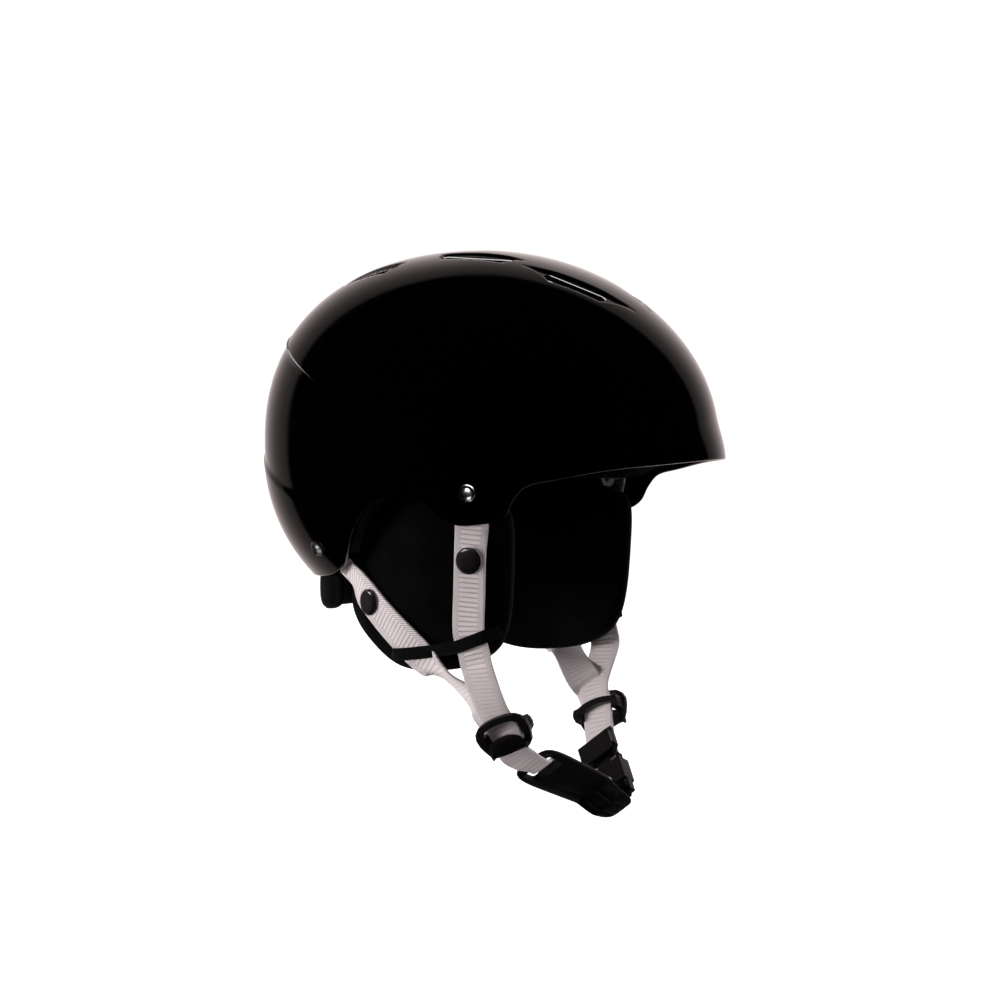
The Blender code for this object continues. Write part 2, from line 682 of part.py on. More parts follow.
    # Locking flap: an oval cap on a cross pin, with a nub that bears on the webbing.
    hinge = divider @ Matrix.Translation(pivot)
    bm = bmesh.new()
    bmesh.ops.create_uvsphere(bm, u_segments=20, v_segments=8, radius=1.0)
    for vert in bm.verts:
        rise = LOCK_HALF_THICK * math.copysign(abs(vert.co.z) ** 0.6, vert.co.z)
        vert.co = (LOCK_HALF_WIDTH * vert.co.x, LOCK_HALF_HEIGHT * (vert.co.y + 0.74), rise)
    lock = finish("divider_lock_" + name, to_mesh(bm, "lock"), plain_black)
    lock.matrix_world = hinge
    pin = rod("lock pin", LOCK_PIN, -0.0119, 0.0119, crossways, 12)
    cut(lock, cutter("lock pin " + name, pin), "UNION")
    reach = LAYER + 0.5 * WEB_THICK + SKIN_GAP - pivot.z
    nub = rod("lock nub", 0.0030, reach, 0.0, hinge @ Matrix.Translation((0.0, 0.0050, 0.0)), 16)
    cut(lock, cutter("lock nub " + name, nub), "UNION")

# Chin loop, laid out in the leaning plane: x is the wearer's left, y is up the slope, z the strap's width.
near_exit = Vector((-EXIT_HALF_SPAN, 0.0, 0.0))
tip = Vector((CHIN_TIP.x, CHIN_TIP.y, 0.0))
run = (tip - near_exit).normalized()
outward = Vector((run.y, -run.x, 0.0))
leg = (tip - near_exit).length
buckle_frame = chin_frame @ Matrix.Translation(tip) @ Matrix.Rotation(-BUCKLE_TURN, 4, "Z")


def chin_ribbon(name, spots, per_span=4, gather=0.0):
    """Strap in the leaning plane; its faces look sideways to its run."""
    line = smooth_line([(a, b, 0.0) for a, b in spots], per_span)
    count = len(line)
    bm = bmesh.new()
    bmesh.ops.create_grid(bm, x_segments=1, y_segments=count - 1, size=1.0)
    rows = sorted(bm.verts, key=lambda v: (round(v.co.y, 6), v.co.x))
    for i in range(count):
        along = (line[i] - near_exit).dot(run)
        tuck = gather * ease((0.018 - abs(along - 0.020)) / 0.014)
        rows[2 * i].co = line[i] - Vector((0.0, 0.0, 0.5 * WEB_WIDTH - tuck))
        rows[2 * i + 1].co = line[i] + Vector((0.0, 0.0, 0.5 * WEB_WIDTH))
    bm.transform(chin_frame)
    made = finish(name, to_mesh(bm, name), web_grey)
    thicken = made.modifiers.new("webbing thickness", "SOLIDIFY")
    thicken.thickness = WEB_THICK
    thicken.offset = 0.0
    thicken.use_even_offset = True
    return made


def leg_spot(along, off):
    spot = near_exit + run * along + outward * off
    return (spot.x, spot.y)


# Right chin strap: gathered over the pad's end, through its slot, behind it, round the socket's bar.
bar = 0.0017
loop = bar + SLIDE_GAP + 0.5 * WEB_THICK
path = [leg_spot(0.0052, 0.0), leg_spot(0.0080, 0.0028), leg_spot(0.0140, 0.0045), leg_spot(0.0195, 0.0043),
        leg_spot(0.0252, 0.0), leg_spot(0.0309, -0.0043), leg_spot(0.0365, -0.0046),
        leg_spot(0.0550, -0.0046),
        leg_spot(leg - 0.0160, -0.0045), leg_spot(leg - 0.0080, -0.0036)]
for turn in range(0, 181, 30):
    a = math.radians(turn)
    path.append(leg_spot(leg + loop * math.sin(a), -loop * math.cos(a)))
path.append(leg_spot(leg - 0.0040, 0.0012))
path.append(leg_spot(leg - 0.0080, -0.0014))
path.append(leg_spot(leg - 0.0120, -0.0021))
chin_ribbon("chin_strap_right", path, gather=0.0065)

# Chin pad with a slot for the strap at its outer end; its tip bends out over the strap's loop.
PAD_TIP_SHARE = 0.56
PAD_RISE = loop + 0.5 * WEB_THICK + 2.0 * SKIN_GAP + 0.5 * PAD_TIP_SHARE * PAD_THICK
pad_start = 0.0135
pad_end = leg + 0.0030
pad_middle = 0.5 * (pad_start + pad_end)
pad_half = 0.5 * (pad_end - pad_start)
pad_axes = Matrix((
    (run.x, 0.0, outward.x, 0.0), (run.y, 0.0, outward.y, 0.0), (0.0, 1.0, 0.0, 0.0), (0.0, 0.0, 0.0, 1.0),
))
pad_frame = chin_frame @ Matrix.Translation(near_exit + run * pad_middle) @ pad_axes


def chin_pad_place(x, y, z):
    lift = 0.5 * PAD_THICK * math.copysign(abs(z) ** 0.6, z)
    flat = math.hypot(x, y)
    if flat < 1e-6:
        return Vector((0.0, 0.0, lift))
    spread = flat ** 0.75 / (abs(x) ** 5 + abs(y) ** 5) ** 0.2
    narrow = 1.0 - 0.14 * x * spread
    along = pad_half * x * spread
    bend = ease((along - pad_half + 0.0290) / 0.0160)
    lift = lift * (1.0 + (PAD_TIP_SHARE - 1.0) * bend) + PAD_RISE * bend
    return Vector((along, 0.5 * PAD_WIDTH * y * spread * narrow, lift))


bm = bmesh.new()
bmesh.ops.create_uvsphere(bm, u_segments=32, v_segments=8, radius=1.0)
for vert in bm.verts:
    vert.co = chin_pad_place(vert.co.x, vert.co.y, vert.co.z)
bm.transform(pad_frame)
chin_pad = finish("chin_pad", to_mesh(bm, "chin_pad"), pad_black)
slot_at = 0.0252 - pad_middle
slot = box("chin pad slot", (0.0128, WEB_WIDTH + 0.0014, 0.030), (slot_at, 0.0, 0.0), pad_frame)
cut(chin_pad, cutter("chin pad slot", slot))

# Buckle socket: x is the thickness, y runs from the webbing bar to the mouth, z is the width.
SOCKET_FOOT = 0.0072
socket_size = (SOCKET_THICK, SOCKET_MOUTH - SOCKET_FOOT, SOCKET_WIDTH)
socket_body = box("buckle_socket", socket_size, (0.0, 0.5 * (SOCKET_MOUTH + SOCKET_FOOT), 0.0), buckle_frame)
socket = finish("buckle_socket", socket_body, plain_black)
for label, size, centre in (
    ("socket cheek a", (0.0050, 0.0104, 0.0030), (0.0, 0.0040, 0.0119)),
    ("socket cheek b", (0.0050, 0.0104, 0.0030), (0.0, 0.0040, -0.0119)),
):
    cut(socket, cutter(label, box(label, size, centre, buckle_frame)), "UNION")
bar_mesh = rod("socket bar", bar, -0.5 * SOCKET_WIDTH + 0.0016, 0.5 * SOCKET_WIDTH - 0.0016, buckle_frame, 16)
cut(socket, cutter("socket bar", bar_mesh), "UNION")
cavity_size = (CAVITY_THICK, SOCKET_MOUTH, CAVITY_WIDTH)
cavity = box("socket cavity", cavity_size, (0.0, 0.0095 + 0.5 * SOCKET_MOUTH, 0.0), buckle_frame)
cut(socket, cutter("socket cavity", cavity))
bevel(socket, 0.0007)

# Buckle tongue: ladder lock with two bars, and the guide plate that enters the socket.
ladder = LADDER_BAR
TONGUE_WIDTH = WEB_WIDTH + 0.0042
wide = 0.5 * TONGUE_WIDTH
half_outline = ((0.0062, 1.0), (-0.0080, 1.0), (-0.0128, 0.70))
tongue_outline = [(ladder + y, wide * z) for y, z in half_outline]
tongue_outline += [(ladder + y, -wide * z) for y, z in half_outline[::-1]]
flat_plane = buckle_frame @ Matrix(
    ((0.0, 0.0, 1.0, 0.0), (1.0, 0.0, 0.0, 0.0), (0.0, 1.0, 0.0, 0.0), (0.0, 0.0, 0.0, 1.0))
)
tongue_body = prism("buckle_tongue", tongue_outline, -0.0018, 0.0018, flat_plane)
tongue = finish("buckle_tongue", tongue_body, plain_black)
for label, size, centre in (
    ("ladder slot a", (0.020, 0.0046, WEB_WIDTH + 0.0014), (0.0, ladder + 0.0018, 0.0)),
    ("ladder slot b", (0.020, 0.0046, WEB_WIDTH + 0.0014), (0.0, ladder - 0.0058, 0.0)),
):
    cut(tongue, cutter(label, box(label, size, centre, buckle_frame)))
cover_outline = [(min(y, ladder + 0.0022), 0.998 * z) for y, z in tongue_outline]
cover = prism("ladder cover", cover_outline, -0.0062, -0.0046, flat_plane)
cut(tongue, cutter("ladder cover", cover), "UNION")
for label, end in (("ladder rail a", 1.0), ("ladder rail b", -1.0)):
    beside = (-0.0036, ladder - 0.0027, end * (wide - 0.0008))
    rail = box(label, (0.0052, 0.0094, 0.0012), beside, buckle_frame)
    cut(tongue, cutter(label, rail), "UNION")
guide = box("guide plate", (0.0032, 0.0214, 0.0090), (0.0, ladder - 0.0219, 0.0), buckle_frame)
cut(tongue, cutter("guide plate", guide), "UNION")
bevel(tongue, 0.0006, 1)

# Squeeze arms of the tongue: each bows out above the socket's mouth and ends inside it.
ARM_LINE = (
    (0.0301, 0.0092), (0.0280, 0.0112), (0.0258, 0.0107),
    (0.0228, 0.0086), (0.0150, 0.0083), (0.0114, 0.0092),
)
for sign, label in ((1.0, "front"), (-1.0, "rear")):
    line = smooth_line([(y, z, 0.0) for y, z in ARM_LINE], 3)
    outline = []
    for i, spot in enumerate(line):
        along = (line[min(i + 1, len(line) - 1)] - line[max(i - 1, 0)]).normalized()
        outline.append((spot.x - along.y * 0.0013, spot.y + along.x * 0.0013))
    for i, spot in reversed(list(enumerate(line))):
        along = (line[min(i + 1, len(line) - 1)] - line[max(i - 1, 0)]).normalized()
        outline.append((spot.x + along.y * 0.0013, spot.y - along.x * 0.0013))
    plane = Matrix(((0.0, 0.0, 1.0, 0.0), (1.0, 0.0, 0.0, 0.0), (0.0, sign, 0.0, 0.0), (0.0, 0.0, 0.0, 1.0)))
    root = Matrix.Translation((0.0, ARM_LINE[0][0], sign * ARM_LINE[0][1]))
    shape = prism("arm", outline, -0.5 * ARM_THICK, 0.5 * ARM_THICK, root.inverted() @ plane)
    arm_made = finish("buckle_arm_" + label, shape, plain_black, smooth=False)
    arm_made.matrix_world = buckle_frame @ root
    bevel(arm_made, 0.0005, 1)

# Left chin strap: from the left divider round the ladder's upper bar and back on itself.
up_axis = Vector((math.sin(BUCKLE_TURN), math.cos(BUCKLE_TURN)))
out_axis = Vector((math.cos(BUCKLE_TURN), -math.sin(BUCKLE_TURN)))


def buckle_spot(along, off):
    spot = Vector((CHIN_TIP.x, CHIN_TIP.y)) + up_axis * along + out_axis * off
    return (spot.x, spot.y)


path = [buckle_spot(a, b) for a, b in (
    (ladder + 0.0066, 0.0033), (ladder + 0.0059, 0.0031), (ladder + 0.0052, 0.0030),
    (ladder + 0.0030, 0.0022), (ladder + 0.0018, 0.0), (ladder + 0.0006, -0.0022),
    (ladder - 0.0020, -0.0030), (ladder - 0.0046, -0.0022), (ladder - 0.0058, 0.0),
    (ladder - 0.0070, 0.0022), (ladder - 0.0098, 0.0030), (ladder - 0.0130, 0.0031),
)]
chin_ribbon("chin_strap_left", path, 3)
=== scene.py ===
import json
import math
from bisect import bisect_left

import bmesh
import bpy
from mathutils import Matrix, Vector

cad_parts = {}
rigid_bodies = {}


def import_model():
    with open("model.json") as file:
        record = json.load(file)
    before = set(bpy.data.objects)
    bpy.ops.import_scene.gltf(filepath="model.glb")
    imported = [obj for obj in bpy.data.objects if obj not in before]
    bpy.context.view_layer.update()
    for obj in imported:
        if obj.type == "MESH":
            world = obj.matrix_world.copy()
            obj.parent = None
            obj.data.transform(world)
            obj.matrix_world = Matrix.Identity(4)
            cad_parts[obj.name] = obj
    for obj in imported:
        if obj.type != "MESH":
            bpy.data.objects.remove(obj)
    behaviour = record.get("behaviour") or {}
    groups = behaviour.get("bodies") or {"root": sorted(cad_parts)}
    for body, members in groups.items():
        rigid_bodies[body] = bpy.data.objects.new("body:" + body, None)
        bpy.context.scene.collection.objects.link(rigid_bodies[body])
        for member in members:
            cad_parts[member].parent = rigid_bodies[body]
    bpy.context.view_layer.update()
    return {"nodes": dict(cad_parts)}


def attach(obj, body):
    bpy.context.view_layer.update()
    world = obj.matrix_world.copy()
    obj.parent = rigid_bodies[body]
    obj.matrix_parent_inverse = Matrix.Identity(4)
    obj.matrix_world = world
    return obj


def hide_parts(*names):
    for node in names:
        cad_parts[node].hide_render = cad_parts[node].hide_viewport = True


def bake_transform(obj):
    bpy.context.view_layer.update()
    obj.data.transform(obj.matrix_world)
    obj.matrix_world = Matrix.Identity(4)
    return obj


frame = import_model()
nodes = frame["nodes"]
print("frame loaded")

# Camera at the photograph's view.
view = {"turn": 25.92, "rise": 2.41, "distance": 2.0, "lens": 120.28, "shift": (0.007, -0.0105)}
turn = math.radians(view["turn"])
rise = math.radians(view["rise"])
eye = Vector((-math.cos(turn) * math.cos(rise), -math.sin(turn) * math.cos(rise), math.sin(rise)))
cameraData = bpy.data.cameras.new("photoCamera")
cameraData.sensor_width = 36.0
cameraData.lens = view["lens"]
cameraData.shift_x, cameraData.shift_y = view["shift"]
camera = bpy.data.objects.new("photoCamera", cameraData)
camera.location = eye * view["distance"]
camera.rotation_euler = (-eye).to_track_quat("-Z", "Y").to_euler()
scene = bpy.context.scene
scene.collection.objects.link(camera)
scene.camera = camera
scene.view_settings.view_transform = "Standard"


class Wire:
    # One shader or geometry socket with arithmetic.
    def __init__(self, tree, out):
        self.tree = tree
        self.out = out

    def node(self, kind, inputs=None, output=0, **settings):
        made = self.tree.nodes.new(kind)
        for key, value in settings.items():
            setattr(made, key, value)
        for key, value in (inputs or {}).items():
            if isinstance(value, Wire):
                self.tree.links.new(value.out, made.inputs[key])
            else:
                made.inputs[key].default_value = value
        return Wire(self.tree, made.outputs[output])

    def maths(self, operation, *others):
        inputs = {i: value for i, value in enumerate((self, *others))}
        return self.node("ShaderNodeMath", inputs, operation=operation)

    def __add__(self, other):
        return self.maths("ADD", other)

    def __sub__(self, other):
        return self.maths("SUBTRACT", other)

    def __rsub__(self, other):
        return self.node("ShaderNodeMath", {0: other, 1: self}, operation="SUBTRACT")

    def __mul__(self, other):
        return self.maths("MULTIPLY", other)

    __radd__ = __add__
    __rmul__ = __mul__

    def __abs__(self):
        return self.maths("ABSOLUTE")

    def step(self, low, high, start=0.0, end=1.0):
        inputs = {"Value": self, "From Min": low, "From Max": high, "To Min": start, "To Max": end}
        return self.node("ShaderNodeMapRange", inputs, interpolation_type="SMOOTHSTEP")

    def part(self, index):
        return self.node("ShaderNodeSeparateXYZ", {0: self}, index)

    def mixed(self, dark, light):
        ends = [one if isinstance(one, Wire) else (*one, 1.0) for one in (dark, light)]
        return self.node("ShaderNodeMix", {0: self, 6: ends[0], 7: ends[1]}, 2, data_type="RGBA")


def newMaterial(name):
    made = bpy.data.materials.new(name)
    made.use_nodes = True
    tree = made.node_tree
    shader = tree.nodes["Principled BSDF"]
    place = Wire(tree, tree.nodes.new("ShaderNodeTexCoord").outputs["Object"])
    return made, tree, shader, place


def feed(tree, shader, **wires):
    names = {
        "colour": "Base Color", "rough": "Roughness", "metal": "Metallic",
        "normal": "Normal", "glow": "Emission Color",
    }
    for key, value in wires.items():
        socket = shader.inputs[names[key]]
        if isinstance(value, Wire):
            tree.links.new(value.out, socket)
        else:
            socket.default_value = value


def bump(wire, height, strength, distance):
    inputs = {"Height": height, "Strength": strength, "Distance": distance}
    return wire.node("ShaderNodeBump", inputs)


def noise(place, scale, detail=3.0):
    return place.node("ShaderNodeTexNoise", {"Vector": place, "Scale": scale, "Detail": detail})


# Glossy moulded shell: deep black with faint haze, fine scuffs and a hint of orange peel.
def shellPaint():
    made, tree, shader, place = newMaterial("glossShell")
    haze = noise(place, 26.0, 4.0)
    streaks = place.node("ShaderNodeVectorMath", {0: place, 1: (900.0, 120.0, 260.0)}, operation="MULTIPLY")
    wear = noise(streaks, 1.0).step(0.66, 0.78)
    feed(
        tree, shader,
        colour=haze.mixed((0.0001, 0.0001, 0.0001), (0.0004, 0.0003, 0.0003)),
        rough=haze.step(0.3, 0.75, 0.055, 0.11) + wear * 0.05,
        normal=bump(place, noise(place, 420.0, 1.0), 0.03, 0.0004),
    )
    shader.inputs["IOR"].default_value = 1.5
    return made


def foamPaint():
    made, tree, shader, place = newMaterial("foam")
    cells = place.node("ShaderNodeTexVoronoi", {"Vector": place, "Scale": 420.0}, feature="DISTANCE_TO_EDGE")
    feed(
        tree, shader,
        colour=noise(place, 60.0).mixed((0.010, 0.010, 0.011), (0.022, 0.022, 0.023)),
        rough=0.93,
        normal=bump(place, cells, 0.35, 0.0006),
    )
    return made


# Soft knitted cover: two crossed fine waves and a slow variation of tone.
def clothPaint(name, dark, light, pitch, relief):
    made, tree, shader, place = newMaterial(name)
    x, y, z = (place.part(i) for i in range(3))
    turns = 2.0 * math.pi / pitch
    first = ((x + y) * turns + z * (0.5 * turns)).maths("SINE")
    second = ((x - y) * turns - z * (0.8 * turns)).maths("SINE")
    knit = (first * second).step(-1.0, 1.0)
    tone = noise(place, 34.0, 4.0).step(0.25, 0.75) * 0.7 + knit * 0.3
    feed(
        tree, shader,
        colour=tone.mixed(dark, light),
        rough=tone.step(0.0, 1.0, 0.82, 0.68),
        normal=bump(place, knit + noise(place, 900.0, 2.0) * 0.5, relief, 0.0003),
    )
    shader.inputs["Specular IOR Level"].default_value = 0.12
    shader.inputs["Sheen Weight"].default_value = 0.02
    shader.inputs["Sheen Roughness"].default_value = 0.45
    return made


# Webbing: level ribs down the middle, slanting twill along both edges, smoother where it has worn low down.
def webPaint():
    made, tree, shader, place = newMaterial("webbing")
    flat = Wire(tree, tree.nodes.new("ShaderNodeTexCoord").outputs["UV"])
    across = abs(flat.part(0) - 0.5)
    along = flat.part(1)
    rib = abs((along * (7.2 * math.pi)).maths("SINE")).maths("POWER", 0.6)
    twill = abs(((along - across * 1.1) * (11.0 * math.pi)).maths("SINE"))
    border = across.step(0.29, 0.31)
    weave = rib + border * (twill - rib)
    thread = abs((across * 160.0).maths("SINE"))
    seam = abs(across - 0.30).step(0.0, 0.020)
    soil = noise(place, 55.0, 4.0).step(0.3, 0.75)
    fresh = place.part(2).step(-0.112, -0.088, 0.35, 1.0)
    tone = (weave * 0.88 + thread * 0.12 + seam * 0.12 - 0.86) * fresh + soil * 0.16 + 0.68
    feed(
        tree, shader,
        colour=tone.step(0.05, 0.95).mixed((0.31, 0.262, 0.268), (0.80, 0.695, 0.705)),
        rough=tone.step(0.0, 1.0, 0.85, 0.70),
        normal=bump(place, (weave + thread * 0.35 + seam * 0.5) * fresh, 0.6, 0.00035),
    )
    shader.inputs["Sheen Weight"].default_value = 0.15
    return made


# Hard finishes: a slow smear of tone and gloss over a fine grain.
def hardPaint(name, dark, light, gloss, smear, grain, relief, metal=0.0):
    made, tree, shader, place = newMaterial(name)
    tone = noise(place, smear, 4.0)
    feed(
        tree, shader,
        colour=tone.mixed(dark, light),
        rough=tone.step(0.3, 0.7, *gloss),
        metal=metal,
        normal=bump(place, noise(place, *grain), *relief),
    )
    return made


def plasticPaint(name, dark, light, gloss, grain, relief):
    return hardPaint(name, dark, light, gloss, 40.0, (grain, 3.0), (relief, 0.0002))


def metalPaint(name, tint, gloss):
    dark = tuple(0.82 * c for c in tint)
    return hardPaint(name, dark, tint, gloss, 500.0, (1600.0, 3.0), (0.04, 0.0001), 1.0)


paints = {
    "shell": shellPaint(),
    # The grey lip paint is a painted highlight along the shell's cut edge and on the vent walls.
    "edge": hardPaint(
        "shellEdge", (0.10, 0.098, 0.098), (0.17, 0.165, 0.165), (0.38, 0.55), 300.0,
        (300.0, 4.0), (0.15, 0.0002),
    ),
    "foam": foamPaint(),
    "pad": clothPaint("padCover", (0.0010, 0.0009, 0.0010), (0.0034, 0.0032, 0.0034), 0.0011, 0.22),
    "ear": clothPaint("earCover", (0.0008, 0.0007, 0.0008), (0.0026, 0.0023, 0.0024), 0.0009, 0.20),
    "binding": clothPaint("bindingTape", (0.0022, 0.0021, 0.0022), (0.0062, 0.0060, 0.0062), 0.0007, 0.35),
    "thread": clothPaint("blackThread", (0.004, 0.004, 0.0042), (0.011, 0.011, 0.0115), 0.0004, 0.4),
    "web": webPaint(),
    "plastic": plasticPaint(
        "satinPlastic", (0.0080, 0.0066, 0.0072), (0.0150, 0.0125, 0.0135), (0.26, 0.42), 1500.0, 0.12,
    ),
    "gloss": plasticPaint(
        "glossPlastic", (0.0065, 0.0048, 0.0055), (0.013, 0.0095, 0.011), (0.12, 0.24), 900.0, 0.05,
    ),
    "rubber": plasticPaint(
        "chinRubber", (0.0034, 0.0031, 0.0034), (0.0085, 0.0078, 0.0085), (0.45, 0.62), 1100.0, 0.25,
    ),
    "chrome": metalPaint("polishedRivet", (0.86, 0.86, 0.88), (0.16, 0.28)),
    "steel": metalPaint("satinSteel", (0.60, 0.60, 0.62), (0.38, 0.50)),
}
print("materials made")

# Dome of the shell: forward is -Y, the wearer's left +X.
dome = {
    "front": 0.1388, "back": 0.1452, "halfWidth": 0.1095, "rise": 0.1139, "drop": 0.1192, "level": 0.0289,
    "setBack": 0.0054, "fullFront": 1.96, "fullBack": 2.19, "fullSide": 2.22, "flare": 0.0055,
    "flareTop": 0.045, "flareSpan": 0.030, "wall": 0.0036, "foam": 0.0140,
}
gap = 0.0003


def ease(x):
    x = min(max(x, 0.0), 1.0)
    return x * x * (3.0 - 2.0 * x)


def halved(low, high, before):
    # Closes in on the place where before stops holding.
    for _ in range(40):
        middle = 0.5 * (low + high)
        if before(middle):
            low = middle
        else:
            high = middle
    return 0.5 * (low + high)


def roundSteps(count, start=0.0):
    return [2.0 * math.pi * (k + start) / count for k in range(count)]


def circle(radius, count):
    return [(radius * math.cos(a), radius * math.sin(a)) for a in roundSteps(count)]


def domePoint(angle, level, inset):
    ahead = math.cos(angle)
    front = ease(0.5 * (1.0 + ahead))
    side = math.sin(angle) ** 2
    ends = dome["fullBack"] + (dome["fullFront"] - dome["fullBack"]) * front
    full = ends * (1.0 - side) + dome["fullSide"] * side
    ring = max(1.0 - abs(level) ** full, 0.0) ** (1.0 / full)
    reach = dome["back"] + (dome["front"] - dome["back"]) * front - inset
    forward = reach * ring * ahead
    height = dome["level"] + ((dome["rise"] if level > 0.0 else dome["drop"]) - inset) * level
    if level > 0.0:
        forward -= dome["setBack"] * level * level
    flare = dome["flare"] * ease((dome["flareTop"] - height) / dome["flareSpan"])
    forward += flare * max(ahead, 0.0) ** 2 * ring
    return Vector(((dome["halfWidth"] - inset) * ring * math.sin(angle), -forward, height))


def domeLevel(height, inset):
    up = height - dome["level"]
    return up / ((dome["rise"] if up > 0.0 else dome["drop"]) - inset)


def domeSide(forward, height, inset):
    level = domeLevel(height, inset)
    angle = halved(0.0, math.pi, lambda a: -domePoint(a, level, inset).y > forward)
    return domePoint(angle, level, inset).x


def domeTop(forward, sideways, inset):
    def spotAt(level):
        ahead = forward + dome["setBack"] * level * level
        angle = math.atan2(sideways / dome["halfWidth"], 2.0 * ahead / (dome["front"] + dome["back"]))
        return domePoint(angle, level, inset)

    far = math.hypot(sideways, forward)
    return spotAt(halved(0.0, 1.0, lambda level: math.hypot(*spotAt(level).xy) > far))


def domeNormal(side, forward, height, reach=0.002):
    here = domeSide(forward, height, 0.0)
    along = Vector((side * (domeSide(forward + reach, height, 0.0) - here), -reach, 0.0))
    up = Vector((side * (domeSide(forward, height + reach, 0.0) - here), 0.0, reach))
    out = along.cross(up).normalized()
    return out if out.x * side > 0.0 else -out


def domeOut(spot, length):
    # Outward direction on the upper dome, from its half axes.
    up = (spot.z - dome["level"]) / dome["rise"] ** 2
    return Vector((spot.x / dome["halfWidth"] ** 2, spot.y / length ** 2, up)).normalized()


def between(a, b, c, d, t):
    bend = 2 * a - 5 * b + 4 * c - d
    swing = 3 * b - a - 3 * c + d
    return 0.5 * (2 * b + (c - a) * t + bend * t * t + swing * t ** 3)


def smoothLine(points, perSpan, closed=False):
    spots = [Vector(p) for p in points]
    if closed:
        ends = spots[-1:] + spots + spots[:2]
    else:
        ends = [2 * spots[0] - spots[1]] + spots + [2 * spots[-1] - spots[-2]]
    made = []
    for i in range(1, len(ends) - 2):
        made += [between(*ends[i - 1:i + 3], j / perSpan) for j in range(perSpan)]
    return made if closed else made + [spots[-1]]


def frameAt(spot, out, up):
    z = Vector(out).normalized()
    x = Vector(up).cross(z).normalized()
    made = Matrix((x, z.cross(x), z)).transposed().to_4x4()
    made.translation = spot
    return made


def addPiece(name, mesh, body, paint, slot, *replaced):
    made = bpy.data.objects.new(name, mesh)
    scene.collection.objects.link(made)
    mesh.materials.clear()
    for one in paint if isinstance(paint, tuple) else (paint,):
        mesh.materials.append(paints[one])
    mesh.shade_smooth()
    if body:
        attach(made, body)
    if replaced:
        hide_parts(*replaced)
    return made


def ringMesh(name, rings, closedEnds=True):
    # Rows of equal length joined round and along; the ends close to a face.
    mesh = bpy.data.meshes.new(name)
    count = len(rings[0])
    faces = []
    for i in range(len(rings) - 1):
        for j in range(count):
            k = (j + 1) % count
            faces.append((i * count + j, i * count + k, (i + 1) * count + k, (i + 1) * count + j))
    if closedEnds:
        last = (len(rings) - 1) * count
        faces.append(tuple(range(count))[::-1])
        faces.append(tuple(last + j for j in range(count)))
    mesh.from_pydata([p for ring in rings for p in ring], [], faces)
    mesh.update()
    return mesh


def outwards(mesh):
    bm = bmesh.new()
    bm.from_mesh(mesh)
    bmesh.ops.recalc_face_normals(bm, faces=bm.faces)
    bm.to_mesh(mesh)
    bm.free()
    return mesh


def stacked(name, place, rows):
    # Outlines joined at their heights along the local Z of a place.
    return ringMesh(name, [[place @ Vector((x, y, z)) for x, y in outline] for outline, z in rows])


def merged(name, meshes):
    bm = bmesh.new()
    for one in meshes:
        bm.from_mesh(one)
    bmesh.ops.remove_doubles(bm, verts=bm.verts, dist=0.000001)
    mesh = bpy.data.meshes.new(name)
    bm.to_mesh(mesh)
    bm.free()
    return outwards(mesh)


def newGuide(name, data):
    guide = bpy.data.objects.new(name + "Guide", data)
    scene.collection.objects.link(guide)
    return guide


def evaluated(made):
    return bpy.data.meshes.new_from_object(made.evaluated_get(bpy.context.evaluated_depsgraph_get()))


def cutAway(made, tools, sharp, paint):
    # Takes the tools out of a piece, paints the cut and keeps edges past an angle sharp.
    tool = newGuide("cut", merged("cut", tools))
    tool.data.materials.append(paints[paint])
    step = made.modifiers.new("cut", "BOOLEAN")
    step.operation = "DIFFERENCE"
    step.solver = "EXACT"
    step.object = tool
    mesh = evaluated(made)
    made.modifiers.clear()
    made.data = mesh
    bpy.data.objects.remove(tool)
    mesh.shade_smooth()
    mesh.set_sharp_from_angle(angle=math.radians(sharp))


# Lower edges of shell and liner, seen from the side.
shellEdge = (
    (0.200, 0.0270), (0.139, 0.0190), (0.110, 0.0155), (0.085, 0.0105), (0.068, 0.0065),
    (0.060, -0.0010), (0.0555, -0.0095), (0.049, -0.0140), (0.039, -0.0158), (0.027, -0.0165),
    (0.018, -0.0125), (0.009, -0.0050), (0.000, -0.0012), (-0.012, -0.0012), (-0.026, -0.0042),
    (-0.036, -0.0115), (-0.044, -0.0210), (-0.051, -0.0315), (-0.058, -0.0405), (-0.068, -0.0470),
    (-0.082, -0.0505), (-0.110, -0.0520), (-0.200, -0.0520),
)
linerEdge = (
    (0.200, 0.0310), (0.139, 0.0230), (0.110, 0.0195), (0.085, 0.0145), (0.070, 0.0105),
    (0.055, 0.0050), (0.030, 0.0040), (0.000, 0.0040), (-0.030, 0.0035), (-0.045, -0.0050),
    (-0.058, -0.0160), (-0.080, -0.0190), (-0.094, -0.0240), (-0.102, -0.0380), (-0.115, -0.0420),
    (-0.200, -0.0420),
)


def edgeHeight(edge):
    line = sorted((p.x, p.y) for p in smoothLine([(a, b, 0.0) for a, b in edge], 10))
    keys = [p[0] for p in line]

    def height(forward):
        i = min(max(bisect_left(keys, forward), 1), len(keys) - 1)
        share = (forward - keys[i - 1]) / max(keys[i] - keys[i - 1], 1e-9)
        return line[i - 1][1] + (line[i][1] - line[i - 1][1]) * share

    return height


def rimLevel(angle, height, inset, lift):
    def below(level):
        spot = domePoint(angle, level, inset)
        return spot.z - lift <= height(-spot.y)

    return halved(-0.75, 0.2, below)


